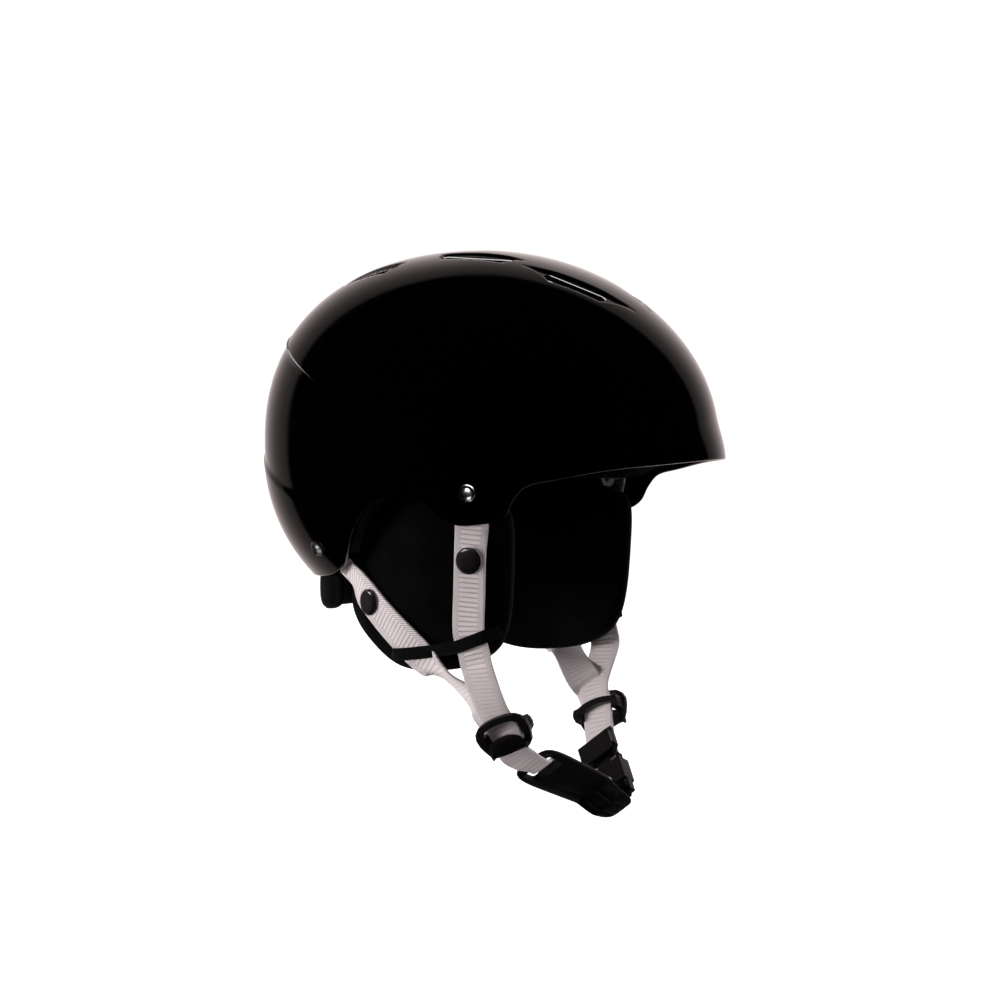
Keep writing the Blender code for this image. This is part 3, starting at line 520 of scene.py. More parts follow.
def rimAngles(height, inset, lift, count):
    # Angles from front to back that space the columns evenly along the rim.
    steps = 900
    fine = [math.pi * i / steps for i in range(steps + 1)]
    spots = [domePoint(a, rimLevel(a, height, inset, lift), inset) for a in fine]
    run = [0.0]
    for a, b in zip(spots, spots[1:]):
        run.append(run[-1] + (b - a).length)
    made = []
    for i in range(count + 1):
        want = run[-1] * i / count
        k = min(max(bisect_left(run, want), 1), steps)
        made.append(fine[k - 1] + (fine[k] - fine[k - 1]) * (want - run[k - 1]) / (run[k] - run[k - 1]))
    return made


def hollowDome(name, settings, relief):
    # Outer skin, rounded lip and inner skin, column by column round the rim.
    height = edgeHeight(settings["edge"])
    outer = settings["outer"]
    inner = settings["inner"]
    lift = settings["lip"]
    lipSteps = 6
    half = rimAngles(height, outer, lift, settings["columns"] // 2)
    angles = half[:-1] + [-a for a in half[:0:-1]]
    columns = []
    for angle in angles:
        low = rimLevel(abs(angle), height, outer, lift)
        span = math.acos(low)
        column = []
        for i in range(1, settings["rows"] + 1):
            spot = domePoint(angle, math.cos(span * i / settings["rows"]), outer)
            column.append(spot - relief(spot, angle))
        first = column[-1]
        last = domePoint(angle, domeLevel(first.z, inner), inner)
        for i in range(1, lipSteps):
            a = math.pi * i / lipSteps
            middle = 0.5 * (first + last) + 0.5 * (first - last) * math.cos(a)
            column.append(middle - Vector((0.0, 0.0, lift * math.sin(a))))
        span = math.acos(domeLevel(first.z, inner))
        for i in range(settings["innerRows"], 0, -1):
            column.append(domePoint(angle, math.cos(span * i / settings["innerRows"]), inner))
        columns.append(column)
    count = len(columns)
    poles = [[domePoint(0.0, 1.0, inset)] * count for inset in (outer, inner)]
    mesh = ringMesh(name, poles[:1] + list(zip(*columns)) + poles[1:], False)
    # The lip faces take the grey lip paint, a painted highlight along the rim.
    lipFirst = settings["rows"] * count
    for face in mesh.polygons[lipFirst:lipFirst + lipSteps * count]:
        face.material_index = 1
    return merged(name, [mesh])


# Vents in pairs along the crown: sunken, with a tapering crease at either end, front then back.
vents = (
    {"ahead": -0.062, "out": 0.0365, "slant": -12.0, "length": 0.042, "tails": (0.006, 0.022)},
    {"ahead": 0.005, "out": 0.0330, "slant": 0.0, "length": 0.048, "tails": (0.009, 0.007)},
    {"ahead": 0.069, "out": 0.0300, "slant": 11.0, "length": 0.040, "tails": (0.021, 0.018)},
)
ventLook = {
    "width": 0.0090, "border": 0.0024, "edge": 0.0036, "depth": 0.0018, "taper": 1.7, "straight": 0.8,
    "fade": 0.5, "above": 0.06, "cutLow": -0.035, "cutHigh": 0.015, "sharp": 62.0,
}
ventPlans = []
for vent in vents:
    for side in (-1.0, 1.0):
        top = domeTop(vent["ahead"], vent["out"], 0.0)
        top.x *= side
        slant = math.radians(vent["slant"])
        heading = Vector((-side * math.sin(slant), -math.cos(slant), 0.0))
        plan = frameAt(top, domeOut(top, dome["front"]), heading)
        ventPlans.append((vent, plan, plan.inverted()))

# Sunken panel at the rear, with a bead along its top.
panel = {
    "top": 0.094, "slope": 0.027, "low": 0.0336, "lowSlope": 0.042, "reach": 1.12, "fade": 0.40,
    "edge": 0.0020, "depth": 0.0009, "bead": 0.00075, "beadReach": 1.10, "beadSunk": 0.0002, "beadSteps": 80,
}


def shellRelief(spot, angle):
    depth = 0.0
    radius = 0.5 * ventLook["width"]
    for vent, plan, back in ventPlans if spot.z > ventLook["above"] else ():
        local = back @ spot
        tail = vent["tails"][0 if local.y > 0.0 else 1]
        past = max(abs(local.y) - 0.5 * vent["length"] + radius, 0.0)
        share = min(past / tail, 1.0)
        wide = (radius + ventLook["border"]) * (1.0 - share) ** ventLook["taper"]
        # The edge towards the crown runs on straight.
        middle = math.copysign(radius + ventLook["border"] - wide, plan.translation.x)
        reach = abs(local.x - ventLook["straight"] * middle) - wide + max(past - tail, 0.0)
        sunk = ventLook["depth"] * (1.0 - ventLook["fade"] * share)
        depth = max(depth, sunk * (1.0 - ease(0.5 + reach / ventLook["edge"])))
    behind = math.pi - abs(angle)
    if behind < panel["reach"]:
        upper = panel["top"] - panel["slope"] * behind ** 2
        lower = panel["low"] - panel["lowSlope"] * behind
        inside = min(upper - spot.z, spot.z - lower)
        fade = ease((panel["reach"] - behind) / panel["fade"])
        depth = max(depth, panel["depth"] * fade * ease(inside / panel["edge"]))
    return domeOut(spot, dome["front"]) * depth


def cutVents(made):
    radius = 0.5 * ventLook["width"]
    tools = []
    for vent, plan, _ in ventPlans:
        ends = []
        for step in range(-90, 91, 15):
            a = math.radians(step)
            ends.append((radius * math.sin(a), 0.5 * vent["length"] - radius + radius * math.cos(a)))
        outline = ends + [(-x, -y) for x, y in ends]
        tools.append(stacked("vent", plan, [(outline, ventLook["cutLow"]), (outline, ventLook["cutHigh"])]))
    # The vent walls take the grey lip paint, a painted highlight.
    cutAway(made, tools, ventLook["sharp"], "edge")


shellLook = {
    "edge": shellEdge, "outer": 0.0, "inner": dome["wall"], "lip": 0.0011,
    "columns": 420, "rows": 150, "innerRows": 18,
}
linerLook = {
    "edge": linerEdge, "outer": dome["wall"] + 4 * gap, "inner": dome["wall"] + gap + dome["foam"],
    "lip": 0.0030, "columns": 200, "rows": 40, "innerRows": 40,
}
shellMesh = hollowDome("outerShell", shellLook, shellRelief)
cutVents(addPiece("outerShell", shellMesh, "helmet", ("shell", "edge"), "shell", "outer_shell"))
linerMesh = hollowDome("foamLiner", linerLook, lambda spot, angle: Vector())
cutVents(addPiece("foamLiner", linerMesh, "helmet", ("foam", "foam"), "liner", "foam_liner"))

# Rounded beads line each vent's opening and the top of the rear panel.
beadLook = {"radius": 0.00065, "sunk": -0.0021, "inset": 0.0002}


def ventBeads(name):
    radius = 0.5 * ventLook["width"] - beadLook["inset"]
    loops = []
    for vent, plan, _ in ventPlans:
        half = 0.5 * (vent["length"] - ventLook["width"])
        rings = []
        for a in roundSteps(96, 0.5):
            side = Vector((math.cos(a), math.sin(a), 0.0))
            spot = side * radius + Vector((0.0, math.copysign(half, side.y), 0.0))
            skin = plan @ spot
            high = domeTop(-skin.y, abs(skin.x), 0.0).z - skin.z + beadLook["sunk"]
            ring = circle(beadLook["radius"], 12)
            rings.append([plan @ (spot + side * x + Vector((0.0, 0.0, high + z))) for x, z in ring])
        loops.append(ringMesh(name, rings + rings[:1], False))
    return merged(name, loops)


def panelBead(name):
    rings = []
    steps = panel["beadSteps"]
    for k in range(-steps, steps + 1):
        behind = panel["beadReach"] * k / steps
        height = panel["top"] - panel["slope"] * behind ** 2
        spot = domePoint(math.pi - behind, domeLevel(height, 0.0), panel["beadSunk"])
        out = domeOut(spot, dome["back"])
        across = (Vector((0.0, 0.0, 1.0)) - out * out.z).normalized()
        radius = panel["bead"] * max(1.0 - abs(k / steps) ** 6, 0.04)
        rings.append([spot + out * x + across * y for x, y in circle(radius, 12)])
    return outwards(ringMesh(name, rings))


addPiece("ventBeads", ventBeads("ventBeads"), "helmet", "shell", "shell")
addPiece("panelBead", panelBead("panelBead"), "helmet", "shell", "shell")
print("shell and liner made")


# Soft pads: rings from the middle of one face, round the edge, to the middle of the other.
def padMesh(name, place, around, rings):
    made = []
    for i in range(1, rings):
        a = math.pi * i / rings
        made.append([place(x, y, math.cos(a)) for x, y in circle(math.sin(a), around)])
    return outwards(ringMesh(name, made))


innerFace = dome["wall"] + 2 * gap + dome["foam"]
padSeam = {"at": 0.93, "width": 0.022, "pucker": 0.25, "count": 46.0}
browPad = {"angle": 0.0, "spread": 30.0, "level": 0.15, "rise": 0.13, "half": 0.0042, "seat": 0.97}
rearPad = {"angle": 180.0, "spread": 30.0, "level": 0.10, "rise": 0.22, "half": 0.0042, "seat": 1.12}
sidePad = {"angle": 92.0, "spread": 26.0, "level": 0.10, "rise": 0.16, "half": 0.0038, "seat": 1.12}
linerPads = {
    "brow": {**browPad, "node": "brow_pad"},
    "rear": {**rearPad, "node": "rear_pad"},
    "sideLeft": {**sidePad, "node": "side_pad_left"},
    "sideRight": {**sidePad, "node": "side_pad_right", "angle": -sidePad["angle"]},
}


def seamDip(x, y):
    # Sewn channel a little inside the edge, and a soft pucker along it.
    pucker = 1.0 + padSeam["pucker"] * math.sin(padSeam["count"] * math.atan2(y, x))
    return math.exp(-((math.hypot(x, y) - padSeam["at"]) / padSeam["width"]) ** 2) * pucker


def squared(x, y):
    # Draws a round outline out to a rounded oblong.
    return math.hypot(x, y) / max((x ** 4 + y ** 4) ** 0.25, 1e-9)


def linerPlace(look):
    def place(x, y, z):
        square = squared(x, y)
        full = z
        if z > 0.0:
            full -= 0.20 * seamDip(x, y) * min(z * 4.0, 1.0)
        return domePoint(
            math.radians(look["angle"]) + math.radians(look["spread"]) * x * square,
            look["level"] + look["rise"] * y * square,
            innerFace + gap + look["half"] * (look["seat"] + full),
        )

    return place


for key, look in linerPads.items():
    mesh = padMesh(key + "Pad", linerPlace(look), 72, 28)
    made = addPiece(key + "Pad", mesh, "helmet", "pad", "pad", look["node"])

crown = {
    "long": 0.050, "wide": 0.026, "back": 0.004, "half": 0.0038, "seam": 0.0008, "lift": 0.0003,
    "bowLong": 0.036, "bowWide": 0.028, "bowBack": 0.006, "drop": 0.0062,
}


def crownPlace(x, y, z):
    inset = innerFace + gap + crown["drop"]
    spot = domeTop(crown["bowLong"] * x - crown["bowBack"], crown["bowWide"] * y, inset)
    dip = crown["seam"] * seamDip(x, y) if z < 0.0 else 0.0
    high = spot.z + crown["lift"] + crown["half"] * z + dip
    return Vector((crown["wide"] * y, crown["back"] - crown["long"] * x, high))


made = addPiece("crownPad", padMesh("crownPad", crownPlace, 72, 28), "helmet", "pad", "pad", "crown_pad")

nape = {"spread": 46.0, "half": 0.0135, "middle": -0.0590, "thick": 0.0058, "level": -0.0525, "clear": 0.0006}


def napePlace(x, y, z):
    square = squared(x, y)
    angle = math.pi + math.radians(nape["spread"]) * x * square
    inset = dome["wall"] + gap + nape["thick"] + nape["clear"]
    wall = domePoint(angle, domeLevel(nape["level"], 0.0), inset)
    out = Vector((wall.x, wall.y, 0.0)).normalized()
    full = math.copysign(abs(z) ** 0.75 - 0.16 * seamDip(x, y) * min(abs(z) * 4.0, 1.0), z)
    return Vector((wall.x, wall.y, nape["middle"] + nape["half"] * y * square)) + out * (nape["thick"] * full)


made = addPiece("napePad", padMesh("napePad", napePlace, 120, 28), "helmet", "pad", "pad", "nape_pad")
print("comfort pads made")

# Ear pads.
ear = {
    "half": 0.0080, "middle": 0.0860, "wrap": 0.0160, "frontWrap": 0.0042, "bowAt": 0.015, "bowSpan": 0.060,
    "lean": 0.0050, "leanAt": -0.010, "leanSpan": 0.090, "round": 0.8, "full": 0.55, "hollow": 0.10,
    "seam": 0.955, "seamWidth": 0.012, "seamDepth": 0.10, "pucker": 0.3, "puckers": 60.0,
    "centre": Vector((0.002, -0.048, 0.0)), "steps": 168, "rows": 46,
}
earOutline = (
    (0.0530, -0.0140), (0.0470, -0.0040), (0.0300, 0.0005), (0.0080, 0.0018), (-0.0165, 0.0010),
    (-0.0375, -0.0070), (-0.0520, -0.0255), (-0.0610, -0.0470), (-0.0655, -0.0640), (-0.0600, -0.0765),
    (-0.0460, -0.0882), (-0.0280, -0.0985), (-0.0110, -0.1020), (0.0080, -0.1012), (0.0240, -0.0982),
    (0.0385, -0.0910), (0.0465, -0.0815), (0.0510, -0.0650), (0.0530, -0.0400),
)
earLoop = smoothLine([(a, b, 0.0) for a, b in earOutline], 8, True)


def earReach(angle):
    ray = Vector((math.cos(angle), math.sin(angle), 0.0))
    best = 0.0
    for a, b in zip(earLoop, earLoop[1:] + earLoop[:1]):
        p = a - ear["centre"]
        edge = b - a
        crossing = ray.x * edge.y - ray.y * edge.x
        if abs(crossing) > 1e-12:
            far = (p.x * edge.y - p.y * edge.x) / crossing
            share = (p.x * ray.y - p.y * ray.x) / crossing
            if far > 0.0 and -1e-6 <= share <= 1.0 + 1e-6:
                best = max(best, far)
    return best


def earWrap(forward):
    return ear["frontWrap"] if forward > ear["bowAt"] else ear["wrap"]


def earMiddle(forward, height):
    bow = earWrap(forward) * ((forward - ear["bowAt"]) / ear["bowSpan"]) ** 2
    return ear["middle"] - bow + ear["lean"] * (height - ear["leanAt"]) / ear["leanSpan"]


def earNormal(side, forward):
    slope = -2.0 * earWrap(forward) * (forward - ear["bowAt"]) / ear["bowSpan"] ** 2
    return Vector((side, slope, -ear["lean"] / ear["leanSpan"])).normalized()


def sideSpot(side, forward, height, out):
    return Vector((side * out, -forward, height))


def earSpot(side, forward, height, lift):
    return sideSpot(side, forward, height, earMiddle(forward, height) + ear["half"] + lift)


earTurns = roundSteps(ear["steps"])
earReaches = [earReach(b) for b in earTurns]


def earRing(side, share, bulges):
    # Loop at a share of the way out to the outline, with its height off the pad's middle.
    made = []
    for b, reach, bulge in zip(earTurns, earReaches, bulges):
        forward = ear["centre"].x + math.cos(b) * reach * share
        height = ear["centre"].y + math.sin(b) * reach * share
        made.append(sideSpot(side, forward, height, earMiddle(forward, height) + ear["half"] * bulge))
    return made


def earPad(side, name):
    rings = []
    for i in range(1, ear["rows"]):
        a = math.pi * i / ear["rows"]
        flat = math.sin(a) ** ear["round"]
        z = math.cos(a)
        channel = ear["seamDepth"] * math.exp(-((flat - ear["seam"]) / ear["seamWidth"]) ** 2)
        puckers = [channel * (1.0 + ear["pucker"] * math.sin(ear["puckers"] * b)) for b in earTurns]
        full = math.copysign(abs(z) ** ear["full"], z)
        # The face towards the ear is dished.
        dish = ear["hollow"] * (1.0 - flat ** 2) * math.cos(1.5 * math.pi * flat) if z < 0.0 else 0.0
        rings.append(earRing(side, flat, [full * (1.0 - dip) - dish for dip in puckers]))
    mesh = outwards(ringMesh("earPad" + name, rings))
    made = addPiece("earPad" + name, mesh, "helmet", "ear", "ear_pad", "ear_pad_" + name.lower())


# Chin loop in its leaning plane.
chin = {
    "origin": Vector((0.0, -0.0429, -0.1507)), "tip": Vector((0.0260, -0.0440, 0.0)), "exit": 0.0600,
    "lean": 37.0, "turn": 33.4, "socketBar": 0.0017, "barClear": 0.0004, "tongueBar": 0.0440,
    "bound": 0.0140, "bendFrom": 0.002, "bendTo": 0.008,
}
web = {"width": 0.0200, "thick": 0.0016, "layer": 0.0012, "bow": 0.0013}
divider = {
    "height": 0.0235, "drop": 0.0030, "shift": 0.0032, "gap": 0.0048, "bar": 0.0036, "entry": 0.0040,
    "arrive": (0.020, -0.096, 0.087), "across": Vector((0.0, -0.90, 0.43)),
}
chinFrame = Matrix.Translation(chin["origin"]) @ Matrix.Rotation(math.radians(90.0 - chin["lean"]), 4, "X")
chinWide = chinFrame.to_3x3() @ Vector((0.0, 0.0, 1.0))
nearExit = Vector((-chin["exit"], 0.0, 0.0))
run = (chin["tip"] - nearExit).normalized()
outward = Vector((run.y, -run.x, 0.0))
leg = (chin["tip"] - nearExit).length
buckleTurn = Matrix.Rotation(-math.radians(chin["turn"]), 4, "Z")
buckleFrame = chinFrame @ Matrix.Translation(chin["tip"]) @ buckleTurn


def legSpot(along, off):
    return chinFrame @ (nearExit + run * along + outward * off)


def buckleSpot(along, off):
    return buckleFrame @ Vector((off, along, 0.0))


def headingAt(line, i):
    return (line[min(i + 1, len(line) - 1)] - line[max(i - 1, 0)]).normalized()


def ribbon(name, line, acrosses, width, thick, body, paint, slot, *replaced, tuck=None):
    shape = (-1.0, -0.985, -0.955, -0.9, -0.6, -0.3, 0.0, 0.3, 0.6, 0.9, 0.955, 0.985, 1.0)
    rise = {1.0: 0.0, 0.985: 0.55, 0.955: 0.88}
    section = [(u, rise.get(abs(u), 1.0)) for u in shape]
    section += [(u, -h) for u, h in section[-2:0:-1]]
    rings = []
    lengths = [0.0]
    for i, spot in enumerate(line):
        along = headingAt(line, i)
        across = (acrosses[i] - along * acrosses[i].dot(along)).normalized()
        out = across.cross(along)
        fold = tuck(spot) if tuck else 0.0
        low = -1.0 if across.dot(chinWide) > 0.0 else 1.0
        ring = []
        for u, h in section:
            aside = 0.5 * (width * u - low * fold * (1.0 + low * u))
            ring.append(spot + across * aside + out * (0.5 * thick * h))
        rings.append(ring)
        if i:
            lengths.append(lengths[-1] + (spot - line[i - 1]).length)
    mesh = ringMesh(name, rings)
    layer = mesh.uv_layers.new(name="webUV")
    per = len(section)
    for loop in mesh.loops:
        row, column = divmod(loop.vertex_index, per)
        layer.data[loop.index].uv = (0.5 + 0.5 * section[column][0], lengths[row] / width)
    return addPiece(name, outwards(mesh), body, paint, slot, *replaced)


# Steps to either side of a join that are evened out, and how often.
blendLook = {"bend": (10, 14), "twist": (26, 60)}


def relax(line, mark, reach, passes):
    for _ in range(passes):
        fresh = list(line)
        for i in range(max(mark - reach, 1), min(mark + reach, len(line) - 1)):
            fresh[i] = 0.5 * line[i] + 0.25 * (line[i - 1] + line[i + 1])
        line[:] = fresh


def acrossOf(line, faces):
    return [headingAt(line, i).cross(face.normalized()).normalized() for i, face in enumerate(faces)]


def joined(parts):
    # One even line from several, with the matching directions across.
    line = []
    wide = []
    marks = []
    for spots, acrosses in parts:
        flip = -1.0 if wide and wide[-1].dot(acrosses[0]) < 0.0 else 1.0
        marks.append(len(line))
        line += spots
        wide += [a * flip for a in acrosses]
    for mark in marks[1:]:
        relax(line, mark, *blendLook["bend"])
        relax(wide, mark, *blendLook["twist"])
    return line, wide


frontRivet = (0.0345, 0.0026)
rearRivet = (-0.0770, -0.0330)
strapInset = dome["wall"] + gap + web["bow"] + 0.5 * web["thick"]
strapLift = gap + 0.5 * web["thick"]
frontDome = ((0.0355, 0.0110), frontRivet, (0.0330, -0.0070), (0.0322, -0.0165))
frontEar = ((0.0310, -0.0320), (0.0298, -0.0550), (0.0288, -0.0770), (0.0316, -0.0890))
rearDome = ((-0.0835, -0.0283), rearRivet, (-0.0685, -0.0396), (-0.0600, -0.0468))
rearEar = ((-0.0470, -0.0580), (-0.0300, -0.0720), (-0.0120, -0.0858), (0.0040, -0.0983))
frontBend = (0.0020, -0.0100, -0.0012)
rearBends = ((0.0825, -0.0130, -0.1058), (0.0728, -0.0252, -0.1172))
rearFolds = (-34.0, -56.0, -18.0)
rearShift = (0.0045, 0.0025, 0.0)
gather = {"at": 0.020, "reach": 0.018, "fade": 0.014, "depth": 0.0065, "within": 0.002}
dividers = {}


def dividerFrame(side):
    leave = chinFrame @ Vector((side * chin["exit"], 0.0, 0.0))
    up = (sideSpot(side, *divider["arrive"]) - leave).normalized()
    wide = (divider["across"] - up * divider["across"].dot(up)).normalized()
    out = wide.cross(up).normalized()
    if out.x * side < 0.0:
        out = -out
    made = Matrix((up.cross(out), up, out)).transposed().to_4x4()
    made.translation = leave + up * (0.5 * divider["height"] + divider["drop"]) + chinWide * divider["shift"]
    return made, leave, out


def gathered(spot):
    # The chin strap bunches up where it enters the pad's slot.
    local = chinFrame.inverted() @ spot - nearExit
    if abs(local.z) > gather["within"]:
        return 0.0
    return gather["depth"] * ease((gather["reach"] - abs(local.dot(run) - gather["at"])) / gather["fade"])


def upperStrap(side, onDome, onEar):
    spots = []
    faces = []
    for forward, height in onDome:
        spots.append(sideSpot(side, forward, height, domeSide(forward, height, strapInset)))
        faces.append(domeNormal(side, forward, height))
    for forward, height in onEar:
        spots.append(earSpot(side, forward, height, strapLift))
        faces.append(earNormal(side, forward))
    return spots, faces


def strips(*parts):
    made = []
    for spots, faces in parts:
        line = smoothLine(spots, 12)
        made.append((line, acrossOf(line, smoothLine(faces, 12))))
    return made


# Ways of the chin strap round the socket's bar, along the leg, and round the tongue's bar.
socketLoop = chin["socketBar"] + chin["barClear"] + 0.5 * web["thick"]
socketTurns = [math.radians(step) for step in range(0, 181, 30)]
socketWay = (
    (0.0052, 0.0), (0.0080, 0.0028), (0.0140, 0.0045), (0.0195, 0.0043), (0.0252, 0.0), (0.0309, -0.0043),
    (0.0365, -0.0046), (0.0550, -0.0046), (leg - 0.0160, -0.0045), (leg - 0.0080, -0.0036),
    *((leg + socketLoop * math.sin(a), -socketLoop * math.cos(a)) for a in socketTurns),
    (leg - 0.0040, 0.0012), (leg - 0.0080, -0.0014), (leg - 0.0120, -0.0021),
)
tongueWay = (
    (0.0066, 0.0033), (0.0059, 0.0031), (0.0052, 0.0030), (0.0030, 0.0022), (0.0018, 0.0), (0.0006, -0.0022),
    (-0.0020, -0.0030), (-0.0046, -0.0022), (-0.0058, 0.0), (-0.0070, 0.0022), (-0.0098, 0.0030),
    (-0.0130, 0.0031),
)

sides = ((-1.0, "Right"), (1.0, "Left"))
for side, name in sides:
    low = name.lower()
    earPad(side, name)
    place, leave, out = dividerFrame(side)
    dividers[name] = place
    layer = out * (web["layer"] * -side)
    entry = place @ Vector((0.0, 0.5 * divider["height"] + divider["entry"], 0.0))
    centre = place.translation

    # Front strap runs on as the chin strap.
    spots, faces = upperStrap(side, frontDome, frontEar)
    start = spots[-1] + (spots[-1] - spots[-2]).normalized() * (3.0 * gap)
    bend = start + sideSpot(side, *frontBend)
    lower = [start, bend, entry + layer, centre + layer, leave + layer]
    parts = strips((spots, faces), (lower, [faces[-1], faces[-1], out, out, out]))
    if side < 0.0:
        path = [legSpot(*p) for p in socketWay]
    else:
        path = [buckleSpot(chin["tongueBar"] + a, b) for a, b in tongueWay]
    chinLine = smoothLine(path, 8)
    line, wide = joined(parts + [(chinLine, [chinWide.copy() for _ in chinLine])])
    replaced = ("strap_front_" + low, "strap_front_lower_" + low, "chin_strap_" + low)
    body, tuck = (None, gathered) if side < 0.0 else ("helmet", None)
    strap = ribbon(
        "strapFront" + name, line, wide, web["width"], web["thick"], body, "web", "webbing",
        *replaced, tuck=tuck,
    )
    if side < 0.0:
        # The end looped round the buckle's bar is bound in black.
        strap.data.materials.append(paints["binding"])
        for face in strap.data.polygons:
            if (chinFrame.inverted() @ face.center - nearExit).dot(run) > leg - chin["bound"]:
                face.material_index = 1
        bendStart = leave + place.to_3x3() @ Vector((0.0, chin["bendFrom"], 0.0))
        legSpot(chin["bendTo"], 0.0)
        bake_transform(strap)

    # Rear strap ends in the divider.
    spots, faces = upperStrap(side, rearDome, rearEar)
    onward = (spots[-1] - spots[-2]).normalized()
    lower = [spots[-1] + onward * (3.5 * gap)] + [Vector((side * x, y, z)) for x, y, z in rearBends]
    lower += [spot - layer - chinWide * shift for spot, shift in zip((entry, centre, leave), rearShift)]
    folds = [Matrix.Rotation(math.radians(a) * side, 3, onward) @ faces[-1] for a in rearFolds]
    line, wide = joined(strips((spots, faces), (lower, [*folds, out, out, out])))
    ribbon(
        "strapRear" + name, line, wide, web["width"], web["thick"], "helmet", "web", "webbing",
        "strap_rear_" + low, "strap_rear_lower_" + low,
    )
print("straps and ear pads made")

# Chin pad: a moulded cushion whose tip bends out over the strap's loop.
pad = {
    "start": 0.0135, "end": leg + 0.0030, "width": 0.0280, "thick": 0.0064, "tip": 0.56, "rise": 0.0029,
    "bend": 0.0290, "bendSpan": 0.0160, "narrow": 0.14, "slot": 0.0252, "slotLong": 0.0128,
    "slotWide": 0.0214, "slotCorner": 0.0022, "slotReach": 0.015, "sharp": 40.0,
}
ridgeLook = {
    "height": 0.00045, "shift": 0.0015, "apart": 0.0045, "width": 0.0009, "start": -0.012, "fade": 0.012,
}
padMiddle = 0.5 * (pad["start"] + pad["end"])
padHalf = 0.5 * (pad["end"] - pad["start"])
padRise = pad["rise"] + 0.5 * web["thick"] + 2.0 * gap + 0.5 * pad["tip"] * pad["thick"]
padAxes = Matrix((
    (run.x, 0.0, outward.x, 0.0), (run.y, 0.0, outward.y, 0.0), (0.0, 1.0, 0.0, 0.0), (0.0, 0.0, 0.0, 1.0),
))
padFrame = chinFrame @ Matrix.Translation(nearExit + run * padMiddle) @ padAxes


def chinPadPlace(x, y, z):
    lift = 0.5 * pad["thick"] * math.copysign(abs(z) ** 0.6, z)
    flat = math.hypot(x, y)
    spread = flat ** 0.75 / (abs(x) ** 5 + abs(y) ** 5) ** 0.2
    along = padHalf * x * spread
    across = 0.5 * pad["width"] * y * spread * (1.0 - pad["narrow"] * x * spread)
    bend = ease((along - padHalf + pad["bend"]) / pad["bendSpan"])
    off = (abs(across + ridgeLook["shift"]) - ridgeLook["apart"]) / ridgeLook["width"]
    ridge = ridgeLook["height"] * math.exp(-off ** 2) * ease((along - ridgeLook["start"]) / ridgeLook["fade"])
    lift = lift * (1.0 + (pad["tip"] - 1.0) * bend) + padRise * bend
    if z > 0.0:
        lift -= ridge * min(1.0, 3.0 * z)
    return padFrame @ Vector((along, across, lift))


def slotOutline():
    corner = pad["slotCorner"]
    made = []
    for a in roundSteps(32, 0.5):
        x = math.copysign(0.5 * pad["slotLong"] - corner, math.cos(a)) + corner * math.cos(a)
        y = math.copysign(0.5 * pad["slotWide"] - corner, math.sin(a)) + corner * math.sin(a)
        made.append((x, y))
    return made


cushion = padMesh("chinPad", chinPadPlace, 160, 36)
chinPad = addPiece("chinPad", cushion, "chin_leg", "rubber", "pad", "chin_pad")
slotFrame = padFrame @ Matrix.Translation((pad["slot"] - padMiddle, 0.0, 0.0))
slotRows = [(slotOutline(), z) for z in (-pad["slotReach"], pad["slotReach"])]
cutAway(chinPad, [stacked("slot", slotFrame, slotRows)], pad["sharp"], "rubber")
print("chin pad made")


# Node trees with named sizes; what they set out is realised, painted and baked to a plain mesh.
def newTree(name, look):
    tree = bpy.data.node_groups.new(name + "Nodes", "GeometryNodeTree")
    tree.interface.new_socket("Geometry", in_out="INPUT", socket_type="NodeSocketGeometry")
    for key, value in look.items():
        tree.interface.new_socket(key, in_out="INPUT", socket_type="NodeSocketFloat").default_value = value
    tree.interface.new_socket("Geometry", in_out="OUTPUT", socket_type="NodeSocketGeometry")
    group = tree.nodes.new("NodeGroupInput")
    return tree, [Wire(tree, group.outputs[i]) for i in range(len(look) + 1)]


def bakeTree(name, tree, placed, paint, guide):
    solid = placed.node("GeometryNodeRealizeInstances", {"Geometry": placed})
    final = solid.node("GeometryNodeSetMaterial", {"Geometry": solid, "Material": paints[paint]})
    tree.links.new(final.out, tree.nodes.new("NodeGroupOutput").inputs[0])
    guide.modifiers.new(name, "NODES").node_group = tree
    mesh = evaluated(guide)
    bpy.data.objects.remove(guide)
    return mesh


# Rivets and snap caps are turned from a profile and set out on their places.
rivet = {"radius": 0.0050, "height": 0.0030, "rim": 0.0014, "shank": 0.40, "paintedShadeCore": 0.46, "tail": 0.0026}
snap = {"radius": 0.0078, "height": 0.0030, "rim": 0.0012}
rivetTail = dome["wall"] + 2.0 * gap + web["bow"] + web["thick"] + rivet["tail"]


def rivetProfile(tubular):
    made = [(0.02, rivet["rim"] if tubular else rivet["height"])]
    for k in range(1, 13):
        a = math.radians(86.0 * k / 12)
        swell = math.sin(math.pi * ease((math.sin(a) - 0.35) / 0.65)) ** 0.7 if tubular else math.cos(a)
        made.append((0.86 * math.sin(a), rivet["rim"] + (rivet["height"] - rivet["rim"]) * swell))
    made += [(0.90, 0.0010), (0.98, 0.0009), (1.0, 0.0006), (0.97, gap)]
    return made + [(rivet["shank"], gap), (rivet["shank"], -rivetTail), (0.05 * rivet["shank"], -rivetTail)]


def snapProfile():
    made = [(0.02, snap["height"])]
    for k in range(1, 13):
        a = math.radians(84.0 * k / 12)
        made.append((0.90 * math.sin(a), snap["rim"] + (snap["height"] - snap["rim"]) * math.cos(a) ** 0.8))
    return made + [(0.925, 0.0011), (0.97, 0.0011), (1.0, 0.0008), (0.98, 0.0002), (0.9, 0.0), (0.02, 0.0)]


